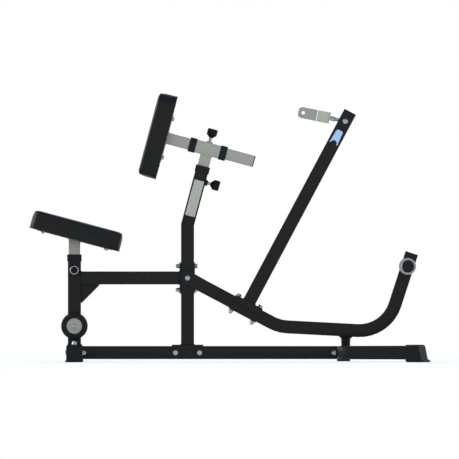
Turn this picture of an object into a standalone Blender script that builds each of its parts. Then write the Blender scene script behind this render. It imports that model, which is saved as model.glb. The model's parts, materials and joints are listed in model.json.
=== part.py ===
"""Seated row machine: a square tube frame with a seat, a chest pad and one plate-loaded pull lever.

Metres, +Z up. The seat is at -X, the weights at +X, and the near side is -Y.
The origin is on the floor, under the middle of the whole machine.
"""

import math

import bmesh
import bpy
from mathutils import Matrix, Vector

# Fits
GAP = 0.0003
BOLT_PLAY = 0.0003
SLIDE_PLAY = 0.0004
WELD = 0.0012

# Tube and plate stock
TUBE = 0.0508
TUBE_WALL = 0.0025
TUBE_CORNER = 0.004
INNER_TUBE = 0.04445
INNER_WALL = 0.0025
INNER_CORNER = 0.003
PLATE = 0.005
THIN_PLATE = 0.003
VENT_RADIUS = 0.008

# Frame layout
SOLE = 0.0107
SEAT_X = -0.60444
UPRIGHT_X = -0.16439
REAR_X = 0.44231
FLANGE_LENGTH = 0.120
BOLT_PITCH = 0.0935

# Bolts: shank, round and hexagon heads, washers and dome nuts
SHANK_RADIUS = 0.005
BUTTON_RADIUS = 0.0115
BUTTON_HEIGHT = 0.007
HEX_RADIUS = 0.0098
HEX_HEIGHT = 0.0075
WASHER_RADIUS = 0.0108
WASHER_HEIGHT = 0.002
DOME_RADIUS = 0.0078
DOME_HEIGHT = 0.014

# Front cross tube and the moulded caps
CROSS_LENGTH = 0.600
CAP_WIDTH = 0.060
CAP_HEIGHT = 0.0653
CAP_CORNER = 0.003
CAP_LIP_WIDTH = 0.0654
CAP_LIP_HEIGHT = 0.008
CAP_LENGTH = 0.071
CAP_TOP_LENGTH = 0.050
CAP_LIP_STEP = 0.008
CAP_DEPTH = 0.045
CAP_RIB_COUNT = 6
CAP_RIB_DEPTH = 0.002
CAP_RIB_SHARE = 0.45

# Rear stabiliser
REAR_STRAIGHT = 0.075
REAR_BEND_RADIUS = 0.070
REAR_BEND_ANGLE = 64.0
REAR_LEG = 0.313
REAR_BEND_STEPS = 6
STOP_X_OFFSET = 0.0085
STOP_RADIUS = 0.0136
STOP_HEIGHT = 0.009
FOOT_PAD_LENGTH = 0.0455
FOOT_PAD_WIDTH = 0.060
FOOT_PAD_HEIGHT = 0.005

# Seat frame
SEAT_BEAM_Z = 0.3264
SEAT_TUBE_TOP = 0.4133
SEAT_FLANGE_HEIGHT = 0.1218
FOOT_PLATE_LENGTH = 0.160
FOOT_BOLT_PITCH = 0.130
GUSSET_LEG = 0.071
GUSSET_THICKNESS = 0.005

# Bushings on the open ends of the outer tubes
BUSHING_WIDTH = 0.0565
BUSHING_CORNER = 0.006
BUSHING_LENGTH = 0.0268
BUSHING_LIP = 0.0043

# Transport wheels
WHEEL_Z = 0.1395
WHEEL_RADIUS = 0.0515
WHEEL_WIDTH = 0.026
WHEEL_EDGE = 0.005
HUB_RADIUS = 0.030
HUB_RECESS = 0.003
AXLE_RADIUS = 0.006
AXLE_HEAD_RADIUS = 0.009
AXLE_HEAD_HEIGHT = 0.006
WHEEL_SIDE_PLAY = 0.001

# Chest upright
BEND_Z = 0.5335
LEAN = 15.0
UPPER_TUBE = 0.2317
SADDLE_LENGTH = 0.122

# Lever pivot
PIVOT_Z = 0.3264
PIVOT_RADIUS = 0.008
BUSH_RADIUS = 0.010
BUSH_FLANGE_RADIUS = 0.020
BUSH_FLANGE = 0.002
CHEEK = 0.006
CHEEK_END_RADIUS = 0.027
CHEEK_REACH = 0.135
ARM_START = 0.075

# Lever arm
ARM_SLOPE = 28.0
ARM_FIRST = 0.402
ARM_SECOND = 0.418
ARM_THIRD = 0.320
ARM_BEND_ONE = 25.0
ARM_BEND_TWO = 75.0
ARM_BEND_RADIUS = 0.145
ARM_STEPS_ONE = 3
ARM_STEPS_TWO = 8

# Weight sleeves
SLEEVE_PLACE = 0.269
BAR_RADIUS = 0.0212
BAR_WALL = 0.003
SLEEVE_RADIUS = 0.0245
SLEEVE_LENGTH = 0.205
COLLAR_RADIUS = 0.0332
COLLAR_WIDTH = 0.012
SLEEVE_CAP_RADIUS = 0.024
SLEEVE_CAP_WIDTH = 0.005
PLUG_DEPTH = 0.012

# Rubber bumper under the arm
BUMPER_FLANGE_RADIUS = 0.0255
BUMPER_NECK_RADIUS = 0.018
BUMPER_TIP_RADIUS = 0.0155
BUMPER_FLANGE_HEIGHT = 0.0055

# Pull post
POST_PLACE = 0.2555
SADDLE_SKIRT = 0.020
CLAMP_LENGTH = 0.119
TUBE_CAP = 0.003
HANDLE_HEIGHT = 0.8005
POST_ABOVE_PIN = 0.042
SLOT_HEIGHT = 0.032
SLOT_WIDTH = 0.020

# Handle carrier, sizes along its own axis from the pin
HANDLE_RISE = 11.5
EYE_RADIUS = 0.0125
EYE_WIDTH = 0.018
PIN_RADIUS = 0.006
SHANK_END = 0.040
ROD_RADIUS = 0.0065
SHOULDER_RADIUS = 0.009
SHOULDER_LENGTH = 0.021
CARRIER_PLATE = 0.006
CARRIER_PLATE_SIZE = 0.045
BLOCK_LENGTH = 0.043
BLOCK_SIZE = 0.043
BLOCK_EDGE = 0.003
SWIVEL_SPACE = 0.0027
SWIVEL_RADIUS = 0.006
SWIVEL_NUT_RADIUS = 0.0098
SWIVEL_NUT_HEIGHT = 0.008
CLEVIS_LENGTH = 0.073
CLEVIS_SIZE = 0.043
CLEVIS_WALL = 0.006
CLEVIS_CORNER = 0.014
CLEVIS_EYE_BACK = 0.0195
CLEVIS_EYE_RADIUS = 0.0068

# Seat pad and post
SEAT_PAD_Z = 0.476
SEAT_TILT = 15.0
SEAT_POST_BOTTOM = 0.200
PAD_THICKNESS = 0.0725
SEAT_PAD_LENGTH = 0.360
SEAT_PAD_WIDTH = 0.320
PAD_CORNER = 0.038
PAD_EDGE = 0.004
PAD_TOP_EDGE = 0.009
PAD_CROWN = 0.0035
PAD_WAIST = 0.0015
BOARD_THICKNESS = 0.012
BOARD_INSET = 0.016
PAD_PLATE = 0.003
PAD_PLATE_WIDTH = 0.080
SEAT_PLATE_LENGTH = 0.300
SEAT_BOLT_PLACE = 0.128
PAD_BOLT_SIDE = 0.025
PAD_BOLT_RADIUS = 0.004
PAD_BOLT_HEAD = 0.0075
PAD_BOLT_HEAD_HEIGHT = 0.006

# Chest pad, its riser and its slide
SLEEVE_RISE = 0.3043
SLEEVE_HALF = 0.070
RISER_BOTTOM = 0.056
CHEST_PAD_BACK = 0.1662
SLIDE_REAR = 0.1874
CHEST_PAD_HEIGHT = 0.332
CHEST_PAD_WIDTH = 0.256
CHEST_PLATE_HEIGHT = 0.186
CHEST_BOLT_PLACE = 0.0775

# Spring pull pins
PIN_TIP_RADIUS = 0.00475
PIN_SHAFT_RADIUS = 0.006
KNOB_START = 0.0455
KNOB_LENGTH = 0.035
KNOB_RADIUS = 0.0198
KNOB_FOOT_RADIUS = 0.011
BOSS_RADIUS = 0.011
SHORT_BOSS = 0.0056
LONG_BOSS = 0.0086
SEAT_PIN_Z = 0.3571
RISER_PIN_RISE = 0.176
PIN_HOLE_RADIUS = 0.0053
PIN_HOLE_PITCH = 0.020
PIN_HOLES_BELOW = 3
PIN_HOLES_ABOVE = 2

# Facets round a bolt, a turned piece and a wheel
BOLT_SIDES = 12
TURN_SIDES = 20
WHEEL_SIDES = 24
CORNER_STEPS = 2

# Sizes that follow from the ones above
HALF = TUBE / 2
BASE_Z = SOLE + HALF
BASE_TOP = SOLE + TUBE
INNER_HALF = INNER_TUBE / 2
CHEEK_INSIDE = HALF + GAP + BUSH_FLANGE + GAP
CHEEK_OUTSIDE = CHEEK_INSIDE + CHEEK
SKIRT_OUTSIDE = HALF + GAP + PLATE


def linear(value):
    """One colour channel from 0 to 255, as light."""
    share = value / 255
    if share <= 0.04045:
        return share / 12.92
    return ((share + 0.055) / 1.055) ** 2.4


def material(name, colour, roughness, metallic):
    """A plain Principled material."""
    made = bpy.data.materials.new(name)
    made.use_nodes = True
    shader = made.node_tree.nodes["Principled BSDF"]
    red, green, blue = colour
    shader.inputs["Base Color"].default_value = (linear(red), linear(green), linear(blue), 1.0)
    shader.inputs["Roughness"].default_value = roughness
    shader.inputs["Metallic"].default_value = metallic
    made.diffuse_color = (linear(red), linear(green), linear(blue), 1.0)
    return made


def point(axis, across, other, along):
    """A point whose last value runs along the named axis."""
    if axis == "x":
        return Vector((along, across, other))
    if axis == "y":
        return Vector((across, along, other))
    return Vector((across, other, along))


def circle(radius, sides):
    """Points round a circle."""
    turns = [math.tau * step / sides for step in range(sides)]
    return [(radius * math.cos(turn), radius * math.sin(turn)) for turn in turns]


def hexagon(radius, sides):
    """Points round a hexagon, with as many points as a circle of the same sides."""
    points = []
    for step in range(sides):
        turn = math.tau * step / sides
        bend = turn % (math.pi / 3) - math.pi / 6
        reach = radius * math.cos(math.pi / 6) / math.cos(bend)
        points.append((reach * math.cos(turn), reach * math.sin(turn)))
    return points


def rounded(width, height, radius, steps=CORNER_STEPS):
    """A rectangle with round corners, centred on its middle."""
    corners = ((1, 1, 0), (-1, 1, 90), (-1, -1, 180), (1, -1, 270))
    points = []
    for side, top, start in corners:
        centre_x = side * (width / 2 - radius)
        centre_y = top * (height / 2 - radius)
        for step in range(steps + 1):
            turn = math.radians(start + 90 * step / steps)
            points.append((centre_x + radius * math.cos(turn), centre_y + radius * math.sin(turn)))
    return points


def loft(rings, closed=False):
    """A solid through rings of points, with flat ends, or closed on itself."""
    made = bmesh.new()
    loops = [[made.verts.new(spot) for spot in ring] for ring in rings]
    pairs = list(zip(loops, loops[1:]))
    if closed:
        pairs.append((loops[-1], loops[0]))
    count = len(loops[0])
    for low, high in pairs:
        for index in range(count):
            after = (index + 1) % count
            made.faces.new((low[index], low[after], high[after], high[index]))
    if not closed:
        made.faces.new(list(reversed(loops[0])))
        made.faces.new(loops[-1])
    bmesh.ops.recalc_face_normals(made, faces=made.faces)
    return made


def prism(axis, outline, low, high, centre=(0.0, 0.0)):
    """An outline drawn out along one axis."""
    rings = []
    for along in (low, high):
        rings.append([point(axis, u + centre[0], v + centre[1], along) for u, v in outline])
    return loft(rings)


def box(low, high):
    """A plain block between two corners."""
    outline = [(low[0], low[1]), (high[0], low[1]), (high[0], high[1]), (low[0], high[1])]
    return prism("z", outline, low[2], high[2])


def turned(axis, profile, centre=(0.0, 0.0), sides=TURN_SIDES, closed=False):
    """A turned solid from pairs of radius and place along the axis."""
    rings = []
    for radius, along in profile:
        spots = circle(radius, sides)
        rings.append([point(axis, u + centre[0], v + centre[1], along) for u, v in spots])
    return loft(rings, closed)


def rod(axis, radius, low, high, centre=(0.0, 0.0), sides=BOLT_SIDES):
    """A plain round bar, also used as the cutter of a round hole."""
    return turned(axis, [(radius, low), (radius, high)], centre, sides)


def hollow(outer, inner):
    """An open square pipe: round corners outside, and one point to a corner inside."""
    made = bmesh.new()
    shells = []
    for rings in (outer, inner):
        loops = [[made.verts.new(spot) for spot in ring] for ring in rings]
        shells.append(loops)
        count = len(loops[0])
        for low, high in zip(loops, loops[1:]):
            for index in range(count):
                after = (index + 1) % count
                made.faces.new((low[index], low[after], high[after], high[index]))
    share = len(outer[0]) // len(inner[0])
    for end in (0, -1):
        outside = shells[0][end]
        inside = shells[1][end]
        for corner in range(len(inside)):
            first = corner * share
            after = (first + share) % len(outside)
            made.faces.new(outside[first:first + share] + [inside[corner]])
            far = (corner + 1) % len(inside)
            made.faces.new((outside[first + share - 1], outside[after], inside[far], inside[corner]))
    bmesh.ops.recalc_face_normals(made, faces=made.faces)
    return made


def swept_rings(path, side, outline):
    """Rings of one outline along a path that stays square to the side direction."""
    rings = []
    last = len(path) - 1
    for index, spot in enumerate(path):
        before = (spot - path[index - 1]).normalized() if index > 0 else None
        after = (path[index + 1] - spot).normalized() if index < last else None
        tangent = ((before or after) + (after or before)).normalized()
        stretch = 1.0 / tangent.dot(after or before)
        across = side.cross(tangent)
        rings.append([spot + across * (u * stretch) + side * v for u, v in outline])
    return rings


def square(size):
    """A square with sharp corners, in the same order as a rounded one."""
    half = size / 2
    return [(half, half), (-half, half), (-half, -half), (half, -half)]


def square_tube(path, side, size=TUBE, wall=TUBE_WALL, corner=TUBE_CORNER):
    """A square tube along a path."""
    outer = swept_rings(path, side, rounded(size, size, corner))
    inner = swept_rings(path, side, square(size - 2 * wall))
    return hollow(outer, inner)


def rounded_path(corners, radius, steps):
    """A path whose inner corners are arcs of one radius."""
    path = [corners[0]]
    for index in range(1, len(corners) - 1):
        corner = corners[index]
        before = (corner - corners[index - 1]).normalized()
        after = (corners[index + 1] - corner).normalized()
        turn = before.angle(after)
        reach = radius * math.tan(turn / 2)
        centre = corner - before * reach + (after - before * after.dot(before)).normalized() * radius
        spoke = corner - before * reach - centre
        for step in range(steps[index - 1] + 1):
            share = turn * step / steps[index - 1]
            path.append(centre + spoke * math.cos(share) + before * (radius * math.sin(share)))
    path.append(corners[-1])
    return path


def temporary(shape):
    """An object that holds a shape while it is joined or cut away."""
    mesh = bpy.data.meshes.new("tool")
    shape.to_mesh(mesh)
    shape.free()
    made = bpy.data.objects.new("tool", mesh)
    bpy.context.scene.collection.objects.link(made)
    return made


def combine(body, shape, operation):
    """Joins a shape to a body, or cuts it away, and keeps the result as a plain mesh."""
    tool = temporary(shape)
    change = body.modifiers.new("change", "BOOLEAN")
    change.operation = operation
    change.solver = "EXACT"
    change.object = tool
    bpy.context.view_layer.update()
    graph = bpy.context.evaluated_depsgraph_get()
    mesh = bpy.data.meshes.new_from_object(body.evaluated_get(graph))
    body.modifiers.clear()
    old = body.data
    body.data = mesh
    bpy.data.meshes.remove(old)
    used = tool.data
    bpy.data.objects.remove(tool)
    bpy.data.meshes.remove(used)


def tidy(body):
    """Merges the doubled points that joins and cuts leave behind."""
    shape = bmesh.new()
    shape.from_mesh(body.data)
    bmesh.ops.remove_doubles(shape, verts=shape.verts, dist=0.000002)
    bmesh.ops.dissolve_degenerate(shape, dist=0.000002, edges=shape.edges)
    bmesh.ops.recalc_face_normals(shape, faces=shape.faces)
    shape.to_mesh(body.data)
    shape.free()


def solid(name, shape, finish, parent=None, joins=(), cuts=()):
    """One named piece: a shape, with shapes joined to it and shapes cut away."""
    mesh = bpy.data.meshes.new(name)
    shape.to_mesh(mesh)
    shape.free()
    body = bpy.data.objects.new(name, mesh)
    bpy.context.scene.collection.objects.link(body)
    for extra in joins:
        combine(body, extra, "UNION")
    for extra in cuts:
        combine(body, extra, "DIFFERENCE")
    tidy(body)
    body.data.name = name
    body.data.materials.clear()
    body.data.materials.append(finish)
    body.data.shade_smooth()
    body.data.set_sharp_from_angle(angle=math.radians(32))
    body.parent = parent
    return body


def guide(name, matrix, parent=None):
    """An empty that carries the pieces of one moving part."""
    made = bpy.data.objects.new(name, None)
    made.empty_display_size = 0.05
    bpy.context.scene.collection.objects.link(made)
    made.parent = parent
    made.matrix_local = matrix
    return made


def tilt(place, degrees):
    """A frame at a place, turned about +Y so that its X axis dips."""
    return Matrix.Translation(Vector(place)) @ Matrix.Rotation(math.radians(degrees), 4, "Y")


def rings_along(axis, steps, centre):
    """Rings along an axis from outlines and places."""
    rings = []
    for outline, along in steps:
        rings.append([point(axis, u + centre[0], v + centre[1], along) for u, v in outline])
    return loft(rings)


def bolt(axis, head, nut, centre, radius=SHANK_RADIUS, button=False):
    """A bolt with its washers and dome nut, between the two faces that it clamps."""
    out = 1.0 if head > nut else -1.0
    head_face = head + out * GAP
    nut_face = nut - out * GAP
    head_top = head_face + out * (WASHER_HEIGHT + HEX_HEIGHT)
    nut_top = nut_face - out * WASHER_HEIGHT
    spread = radius / SHANK_RADIUS
    steps = []
    if button:
        top = head_face + out * BUTTON_HEIGHT
        steps.append((circle(BUTTON_RADIUS * 0.62, BOLT_SIDES), top))
        steps.append((circle(BUTTON_RADIUS, BOLT_SIDES), top - out * BUTTON_HEIGHT * 0.5))
        steps.append((circle(BUTTON_RADIUS, BOLT_SIDES), head_face))
    else:
        steps.append((hexagon(HEX_RADIUS, BOLT_SIDES), head_top))
        steps.append((hexagon(HEX_RADIUS, BOLT_SIDES), head_face + out * WASHER_HEIGHT))
        steps.append((circle(WASHER_RADIUS, BOLT_SIDES), head_face))
    steps.append((circle(radius, BOLT_SIDES), head_face))
    steps.append((circle(radius, BOLT_SIDES), nut_face))
    steps.append((circle(WASHER_RADIUS * spread, BOLT_SIDES), nut_face))
    steps.append((hexagon(HEX_RADIUS * spread, BOLT_SIDES), nut_top))
    steps.append((hexagon(HEX_RADIUS * spread, BOLT_SIDES), nut_top - out * DOME_HEIGHT * 0.5))
    steps.append((circle(DOME_RADIUS * spread * 0.86, BOLT_SIDES), nut_top - out * DOME_HEIGHT * 0.76))
    steps.append((circle(DOME_RADIUS * spread * 0.35, BOLT_SIDES), nut_top - out * DOME_HEIGHT))
    return rings_along(axis, steps, centre)


def bolt_hole(axis, centre, low, high, radius=SHANK_RADIUS):
    """The cutter of a bolt's clearance hole."""
    return rod(axis, radius + BOLT_PLAY, low, high, centre)


def channel(centre, length, top, skirt_end, inside_half, plate=PLATE):
    """A folded plate with two skirts, its open side toward the skirts' ends."""
    outside = inside_half + plate
    sign = 1.0 if top > skirt_end else -1.0
    under = top - sign * plate
    outline = [
        (-outside, top),
        (outside, top),
        (outside, skirt_end),
        (inside_half, skirt_end),
        (inside_half, under),
        (-inside_half, under),
        (-inside_half, skirt_end),
        (-outside, skirt_end),
    ]
    return prism("x", outline, centre - length / 2, centre + length / 2)


def bushing(axis, end, out):
    """A collar over a tube's end, with a lip round the tube that slides in it."""
    lip_face = end + out * (GAP + BUSHING_LIP)
    root = lip_face - out * BUSHING_LENGTH
    body = prism(axis, rounded(BUSHING_WIDTH, BUSHING_WIDTH, BUSHING_CORNER), root, lip_face)
    socket_size = TUBE + 2 * GAP
    socket = rounded(socket_size, socket_size, TUBE_CORNER + GAP)
    bore_size = INNER_TUBE + 2 * SLIDE_PLAY
    bore = rounded(bore_size, bore_size, INNER_CORNER + SLIDE_PLAY)
    cuts = [
        prism(axis, socket, root - out * 0.005, end + out * GAP),
        prism(axis, bore, root - out * 0.005, lip_face + out * 0.005),
    ]
    return body, cuts


def tube_plug(size, wall, corner):
    """A thin cap with its plug, for a tube that ends at zero and opens toward +X."""
    inside = size - 2 * wall - 2 * GAP
    plate = rounded(size, size, corner)
    stem = rounded(inside, inside, max(corner - wall - GAP, 0.0008))
    edge = rounded(size - 0.002, size - 0.002, corner)
    steps = [
        (stem, -PLUG_DEPTH),
        (stem, GAP),
        (plate, GAP),
        (plate, GAP + TUBE_CAP * 0.6),
        (edge, GAP + TUBE_CAP),
    ]
    return rings_along("x", steps, (0.0, 0.0))


def hole_row(axis, centre_for, first, low, high):
    """Cutters of the adjusting holes, whose lands lie under the pin at rest."""
    cutters = []
    for step in range(-PIN_HOLES_BELOW, PIN_HOLES_ABOVE):
        place = first + (step + 0.5) * PIN_HOLE_PITCH
        cutters.append(rod(axis, PIN_HOLE_RADIUS, low, high, centre_for(place)))
    return cutters


def pull_pin(axis, centre, out, middle, boss):
    """A spring pin and its knob, the tip just clear of the sliding tube."""
    tip = middle + out * (INNER_HALF + GAP)
    shoulder = middle + out * (HALF + boss + GAP)
    knob = middle + out * KNOB_START
    steps = [
        (PIN_TIP_RADIUS, tip),
        (PIN_TIP_RADIUS, shoulder),
        (PIN_SHAFT_RADIUS, shoulder),
        (PIN_SHAFT_RADIUS, knob),
        (KNOB_FOOT_RADIUS, knob),
        (KNOB_FOOT_RADIUS, knob + out * KNOB_LENGTH * 0.12),
        (KNOB_RADIUS, knob + out * KNOB_LENGTH * 0.30),
        (KNOB_RADIUS, knob + out * KNOB_LENGTH * 0.92),
        (KNOB_RADIUS * 0.93, knob + out * KNOB_LENGTH),
    ]
    return turned(axis, steps, centre, 16)


def cap_shape():
    """A moulded foot cap along +X, with its socket, slanted end and ribbed sole."""
    shoulder = CAP_LENGTH - CAP_LIP_STEP
    side = [
        (0.0, 0.0),
        (CAP_LENGTH, 0.0),
        (CAP_LENGTH, CAP_LIP_HEIGHT),
        (shoulder, CAP_LIP_HEIGHT),
        (CAP_TOP_LENGTH, CAP_HEIGHT),
        (0.0, CAP_HEIGHT),
    ]
    body = prism("y", side, -CAP_LIP_WIDTH / 2, CAP_LIP_WIDTH / 2)
    cuts = []
    for out in (-1.0, 1.0):
        low = out * CAP_WIDTH / 2
        high = out * CAP_LIP_WIDTH
        top = CAP_HEIGHT
        edge = [
            (low, CAP_LIP_HEIGHT),
            (high, CAP_LIP_HEIGHT),
            (high, top + 0.01),
            (low - out * CAP_CORNER, top + 0.01),
            (low - out * CAP_CORNER, top),
            (low - out * CAP_CORNER * 0.3, top - CAP_CORNER * 0.3),
            (low, top - CAP_CORNER),
        ]
        cuts.append(prism("x", edge, -0.01, CAP_LENGTH + 0.01))
    socket_size = TUBE + 2 * GAP
    socket = rounded(socket_size, socket_size, TUBE_CORNER + GAP)
    cuts.append(prism("x", socket, -0.01, CAP_DEPTH, (0.0, BASE_Z)))
    pitch = CAP_LENGTH / CAP_RIB_COUNT
    for step in range(CAP_RIB_COUNT):
        low = pitch * (step + 0.5) - pitch * CAP_RIB_SHARE / 2
        high = low + pitch * CAP_RIB_SHARE
        half = CAP_WIDTH / 2 - 0.004
        cuts.append(box((low, -half, -0.01), (high, half, CAP_RIB_DEPTH)))
    return body, cuts


def make_cap(name, place, heading, finish):
    """A foot cap whose open end is at a place, facing back along its heading."""
    body, cuts = cap_shape()
    made = solid(name, body, finish, None, (), cuts)
    made.location = place
    made.rotation_euler = (0.0, 0.0, heading)
    return made


def make_base(black, plastic):
    """The base beam, the front cross tube and the front caps."""
    cross_face = SEAT_X + HALF
    front = cross_face + GAP
    rear = REAR_X - HALF - GAP
    beam = square_tube([Vector((front + WELD, 0, BASE_Z)), Vector((rear - WELD, 0, BASE_Z))], Vector((0, 1, 0)))
    half = FLANGE_LENGTH / 2
    plates = [
        box((front, -half, SOLE), (front + PLATE, half, BASE_TOP)),
        box((rear - PLATE, -half, SOLE), (rear, half, BASE_TOP)),
    ]
    cuts = [
        rod("x", VENT_RADIUS, front - 0.01, front + PLATE + 0.01, (0.0, BASE_Z)),
        rod("x", VENT_RADIUS, rear - PLATE - 0.01, rear + 0.01, (0.0, BASE_Z)),
    ]
    for side in (-0.5, 0.5):
        spot = (side * BOLT_PITCH, BASE_Z)
        cuts.append(bolt_hole("x", spot, front - 0.01, front + PLATE + 0.01))
        cuts.append(bolt_hole("x", spot, rear - PLATE - 0.01, rear + 0.01))
        saddle = (UPRIGHT_X + side * BOLT_PITCH, BASE_Z)
        cuts.append(bolt_hole("y", saddle, -TUBE, TUBE))
    solid("base_beam", beam, black, None, plates, cuts)

    end = CROSS_LENGTH / 2 - CAP_LENGTH + CAP_DEPTH - GAP
    ends = [Vector((SEAT_X, -end, BASE_Z)), Vector((SEAT_X, end, BASE_Z))]
    cross = square_tube(ends, Vector((0, 0, 1)))
    cuts = []
    for side in (-0.5, 0.5):
        spot = (side * BOLT_PITCH, BASE_Z)
        cuts.append(bolt_hole("x", spot, SEAT_X - TUBE, SEAT_X + TUBE))
        spot = (SEAT_X, side * FOOT_BOLT_PITCH)
        cuts.append(bolt_hole("z", spot, SOLE - 0.01, BASE_TOP + 0.01))
    solid("front_cross_tube", cross, black, None, (), cuts)

    inner = CROSS_LENGTH / 2 - CAP_LENGTH
    make_cap("front_cap_near", (SEAT_X, -inner, 0.0), math.radians(-90), plastic)
    make_cap("front_cap_far", (SEAT_X, inner, 0.0), math.radians(90), plastic)


def make_rear(black, plastic, rubber):
    """The bent rear stabiliser with its caps, its stop and its foot pad."""
    turn = math.radians(REAR_BEND_ANGLE)
    reach = REAR_BEND_RADIUS * math.tan(turn / 2)
    heading = Vector((math.sin(turn), math.cos(turn), 0))
    corner = Vector((REAR_X, REAR_STRAIGHT + reach, BASE_Z))
    open_end = corner + heading * (reach + REAR_LEG - CAP_LENGTH)
    far_end = open_end + heading * (CAP_DEPTH - GAP)
    mirror = Vector((1, -1, 1))
    corners = [far_end * mirror, corner * mirror, corner, far_end]
    path = rounded_path(corners, REAR_BEND_RADIUS, (REAR_BEND_STEPS, REAR_BEND_STEPS))
    stabiliser = square_tube(path, Vector((0, 0, 1)))
    cuts = []
    for side in (-0.5, 0.5):
        spot = (side * BOLT_PITCH, BASE_Z)
        cuts.append(bolt_hole("x", spot, REAR_X - TUBE, REAR_X + TUBE))
    solid("rear_stabiliser", stabiliser, black, None, (), cuts)

    place = Vector((open_end.x, open_end.y, 0.0))
    out = math.atan2(heading.y, heading.x)
    make_cap("rear_cap_near", place * mirror, -out, plastic)
    make_cap("rear_cap_far", place, out, plastic)

    stop_x = REAR_X + STOP_X_OFFSET
    foot = BASE_TOP + GAP
    profile = [
        (STOP_RADIUS, foot),
        (STOP_RADIUS, foot + STOP_HEIGHT - 0.0015),
        (STOP_RADIUS - 0.0015, foot + STOP_HEIGHT - GAP),
    ]
    solid("stabiliser_stop", turned("z", profile, (stop_x, 0.0)), black)

    top = SOLE - GAP
    outline = rounded(FOOT_PAD_LENGTH, FOOT_PAD_WIDTH, 0.004)
    pad = prism("z", outline, top - FOOT_PAD_HEIGHT, top, (REAR_X, 0.0))
    solid("stabiliser_pad", pad, rubber)


def make_seat_frame(black):
    """The seat upright with its foot plate, beam, gusset, end flange and pin boss."""
    foot = BASE_TOP + GAP
    ends = [Vector((SEAT_X, 0, foot + WELD)), Vector((SEAT_X, 0, SEAT_TUBE_TOP))]
    upright = square_tube(ends, Vector((0, 1, 0)))
    flange = UPRIGHT_X - HALF - GAP
    face = SEAT_X + HALF
    ends = [Vector((face - WELD, 0, SEAT_BEAM_Z)), Vector((flange - WELD, 0, SEAT_BEAM_Z))]
    beam = square_tube(ends, Vector((0, 1, 0)))
    half = FOOT_PLATE_LENGTH / 2
    tall = SEAT_FLANGE_HEIGHT / 2
    under = SEAT_BEAM_Z - HALF
    web = [
        (face - WELD, under + WELD),
        (face + GUSSET_LEG, under + WELD),
        (face + GUSSET_LEG, under - 0.004),
        (face + 0.004, under - GUSSET_LEG),
        (face - WELD, under - GUSSET_LEG),
    ]
    joins = [
        beam,
        box((SEAT_X - HALF, -half, foot), (SEAT_X + HALF, half, foot + PLATE)),
        box((flange - PLATE, -HALF, SEAT_BEAM_Z - tall), (flange, HALF, SEAT_BEAM_Z + tall)),
        prism("y", web, -GUSSET_THICKNESS / 2, GUSSET_THICKNESS / 2),
        rod("y", BOSS_RADIUS, -HALF - SHORT_BOSS, -HALF + WELD, (SEAT_X, SEAT_PIN_Z), 16),
    ]
    cuts = [
        rod("x", VENT_RADIUS, flange - PLATE - 0.01, flange + 0.01, (0.0, SEAT_BEAM_Z)),
        rod("y", PIN_TIP_RADIUS + BOLT_PLAY, -TUBE, 0.0, (SEAT_X, SEAT_PIN_Z), 16),
        rod("y", AXLE_RADIUS + BOLT_PLAY, -TUBE, TUBE, (SEAT_X, WHEEL_Z), 16),
    ]
    for side in (-0.5, 0.5):
        cuts.append(bolt_hole("z", (SEAT_X, side * FOOT_BOLT_PITCH), foot - 0.01, foot + PLATE + 0.01))
        spot = (0.0, SEAT_BEAM_Z + side * BOLT_PITCH)
        cuts.append(bolt_hole("x", spot, flange - PLATE - 0.01, flange + 0.01))
    solid("seat_frame", upright, black, None, joins, cuts)


def make_upright(black):
    """The bent chest upright with its saddle and pin boss, and the plate behind it."""
    top = BASE_TOP + GAP + PLATE
    lean = math.radians(LEAN)
    vertex = Vector((UPRIGHT_X, 0, BEND_Z))
    along = Vector((math.sin(lean), 0, math.cos(lean)))
    path = [Vector((UPRIGHT_X, 0, top - WELD)), vertex, vertex + along * UPPER_TUBE]
    upright = square_tube(path, Vector((0, 1, 0)))
    boss = rod("x", BOSS_RADIUS, HALF - WELD, HALF + LONG_BOSS, (0.0, RISER_PIN_RISE), 16)
    bore = rod("x", PIN_TIP_RADIUS + BOLT_PLAY, 0.0, TUBE, (0.0, RISER_PIN_RISE), 16)
    frame = tilt(vertex, LEAN)
    boss.transform(frame)
    bore.transform(frame)
    joins = [channel(UPRIGHT_X, SADDLE_LENGTH, top, SOLE, HALF + GAP), boss]
    cuts = [
        bore,
        rod("y", BUSH_RADIUS + BOLT_PLAY, -TUBE, TUBE, (UPRIGHT_X, PIVOT_Z), 16),
    ]
    for side in (-0.5, 0.5):
        cuts.append(bolt_hole("y", (UPRIGHT_X + side * BOLT_PITCH, BASE_Z), -TUBE, TUBE))
        spot = (0.0, SEAT_BEAM_Z + side * BOLT_PITCH)
        cuts.append(bolt_hole("x", spot, UPRIGHT_X - TUBE, UPRIGHT_X + TUBE))
    solid("chest_upright", upright, black, None, joins, cuts)

    near = UPRIGHT_X + HALF + GAP
    tall = SEAT_FLANGE_HEIGHT / 2
    plate = box((near, -HALF, SEAT_BEAM_Z - tall), (near + THIN_PLATE, HALF, SEAT_BEAM_Z + tall))
    cuts = []
    for side in (-0.5, 0.5):
        spot = (0.0, SEAT_BEAM_Z + side * BOLT_PITCH)
        cuts.append(bolt_hole("x", spot, near - 0.01, near + THIN_PLATE + 0.01))
    solid("backing_plate", plate, black, None, (), cuts)


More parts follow.
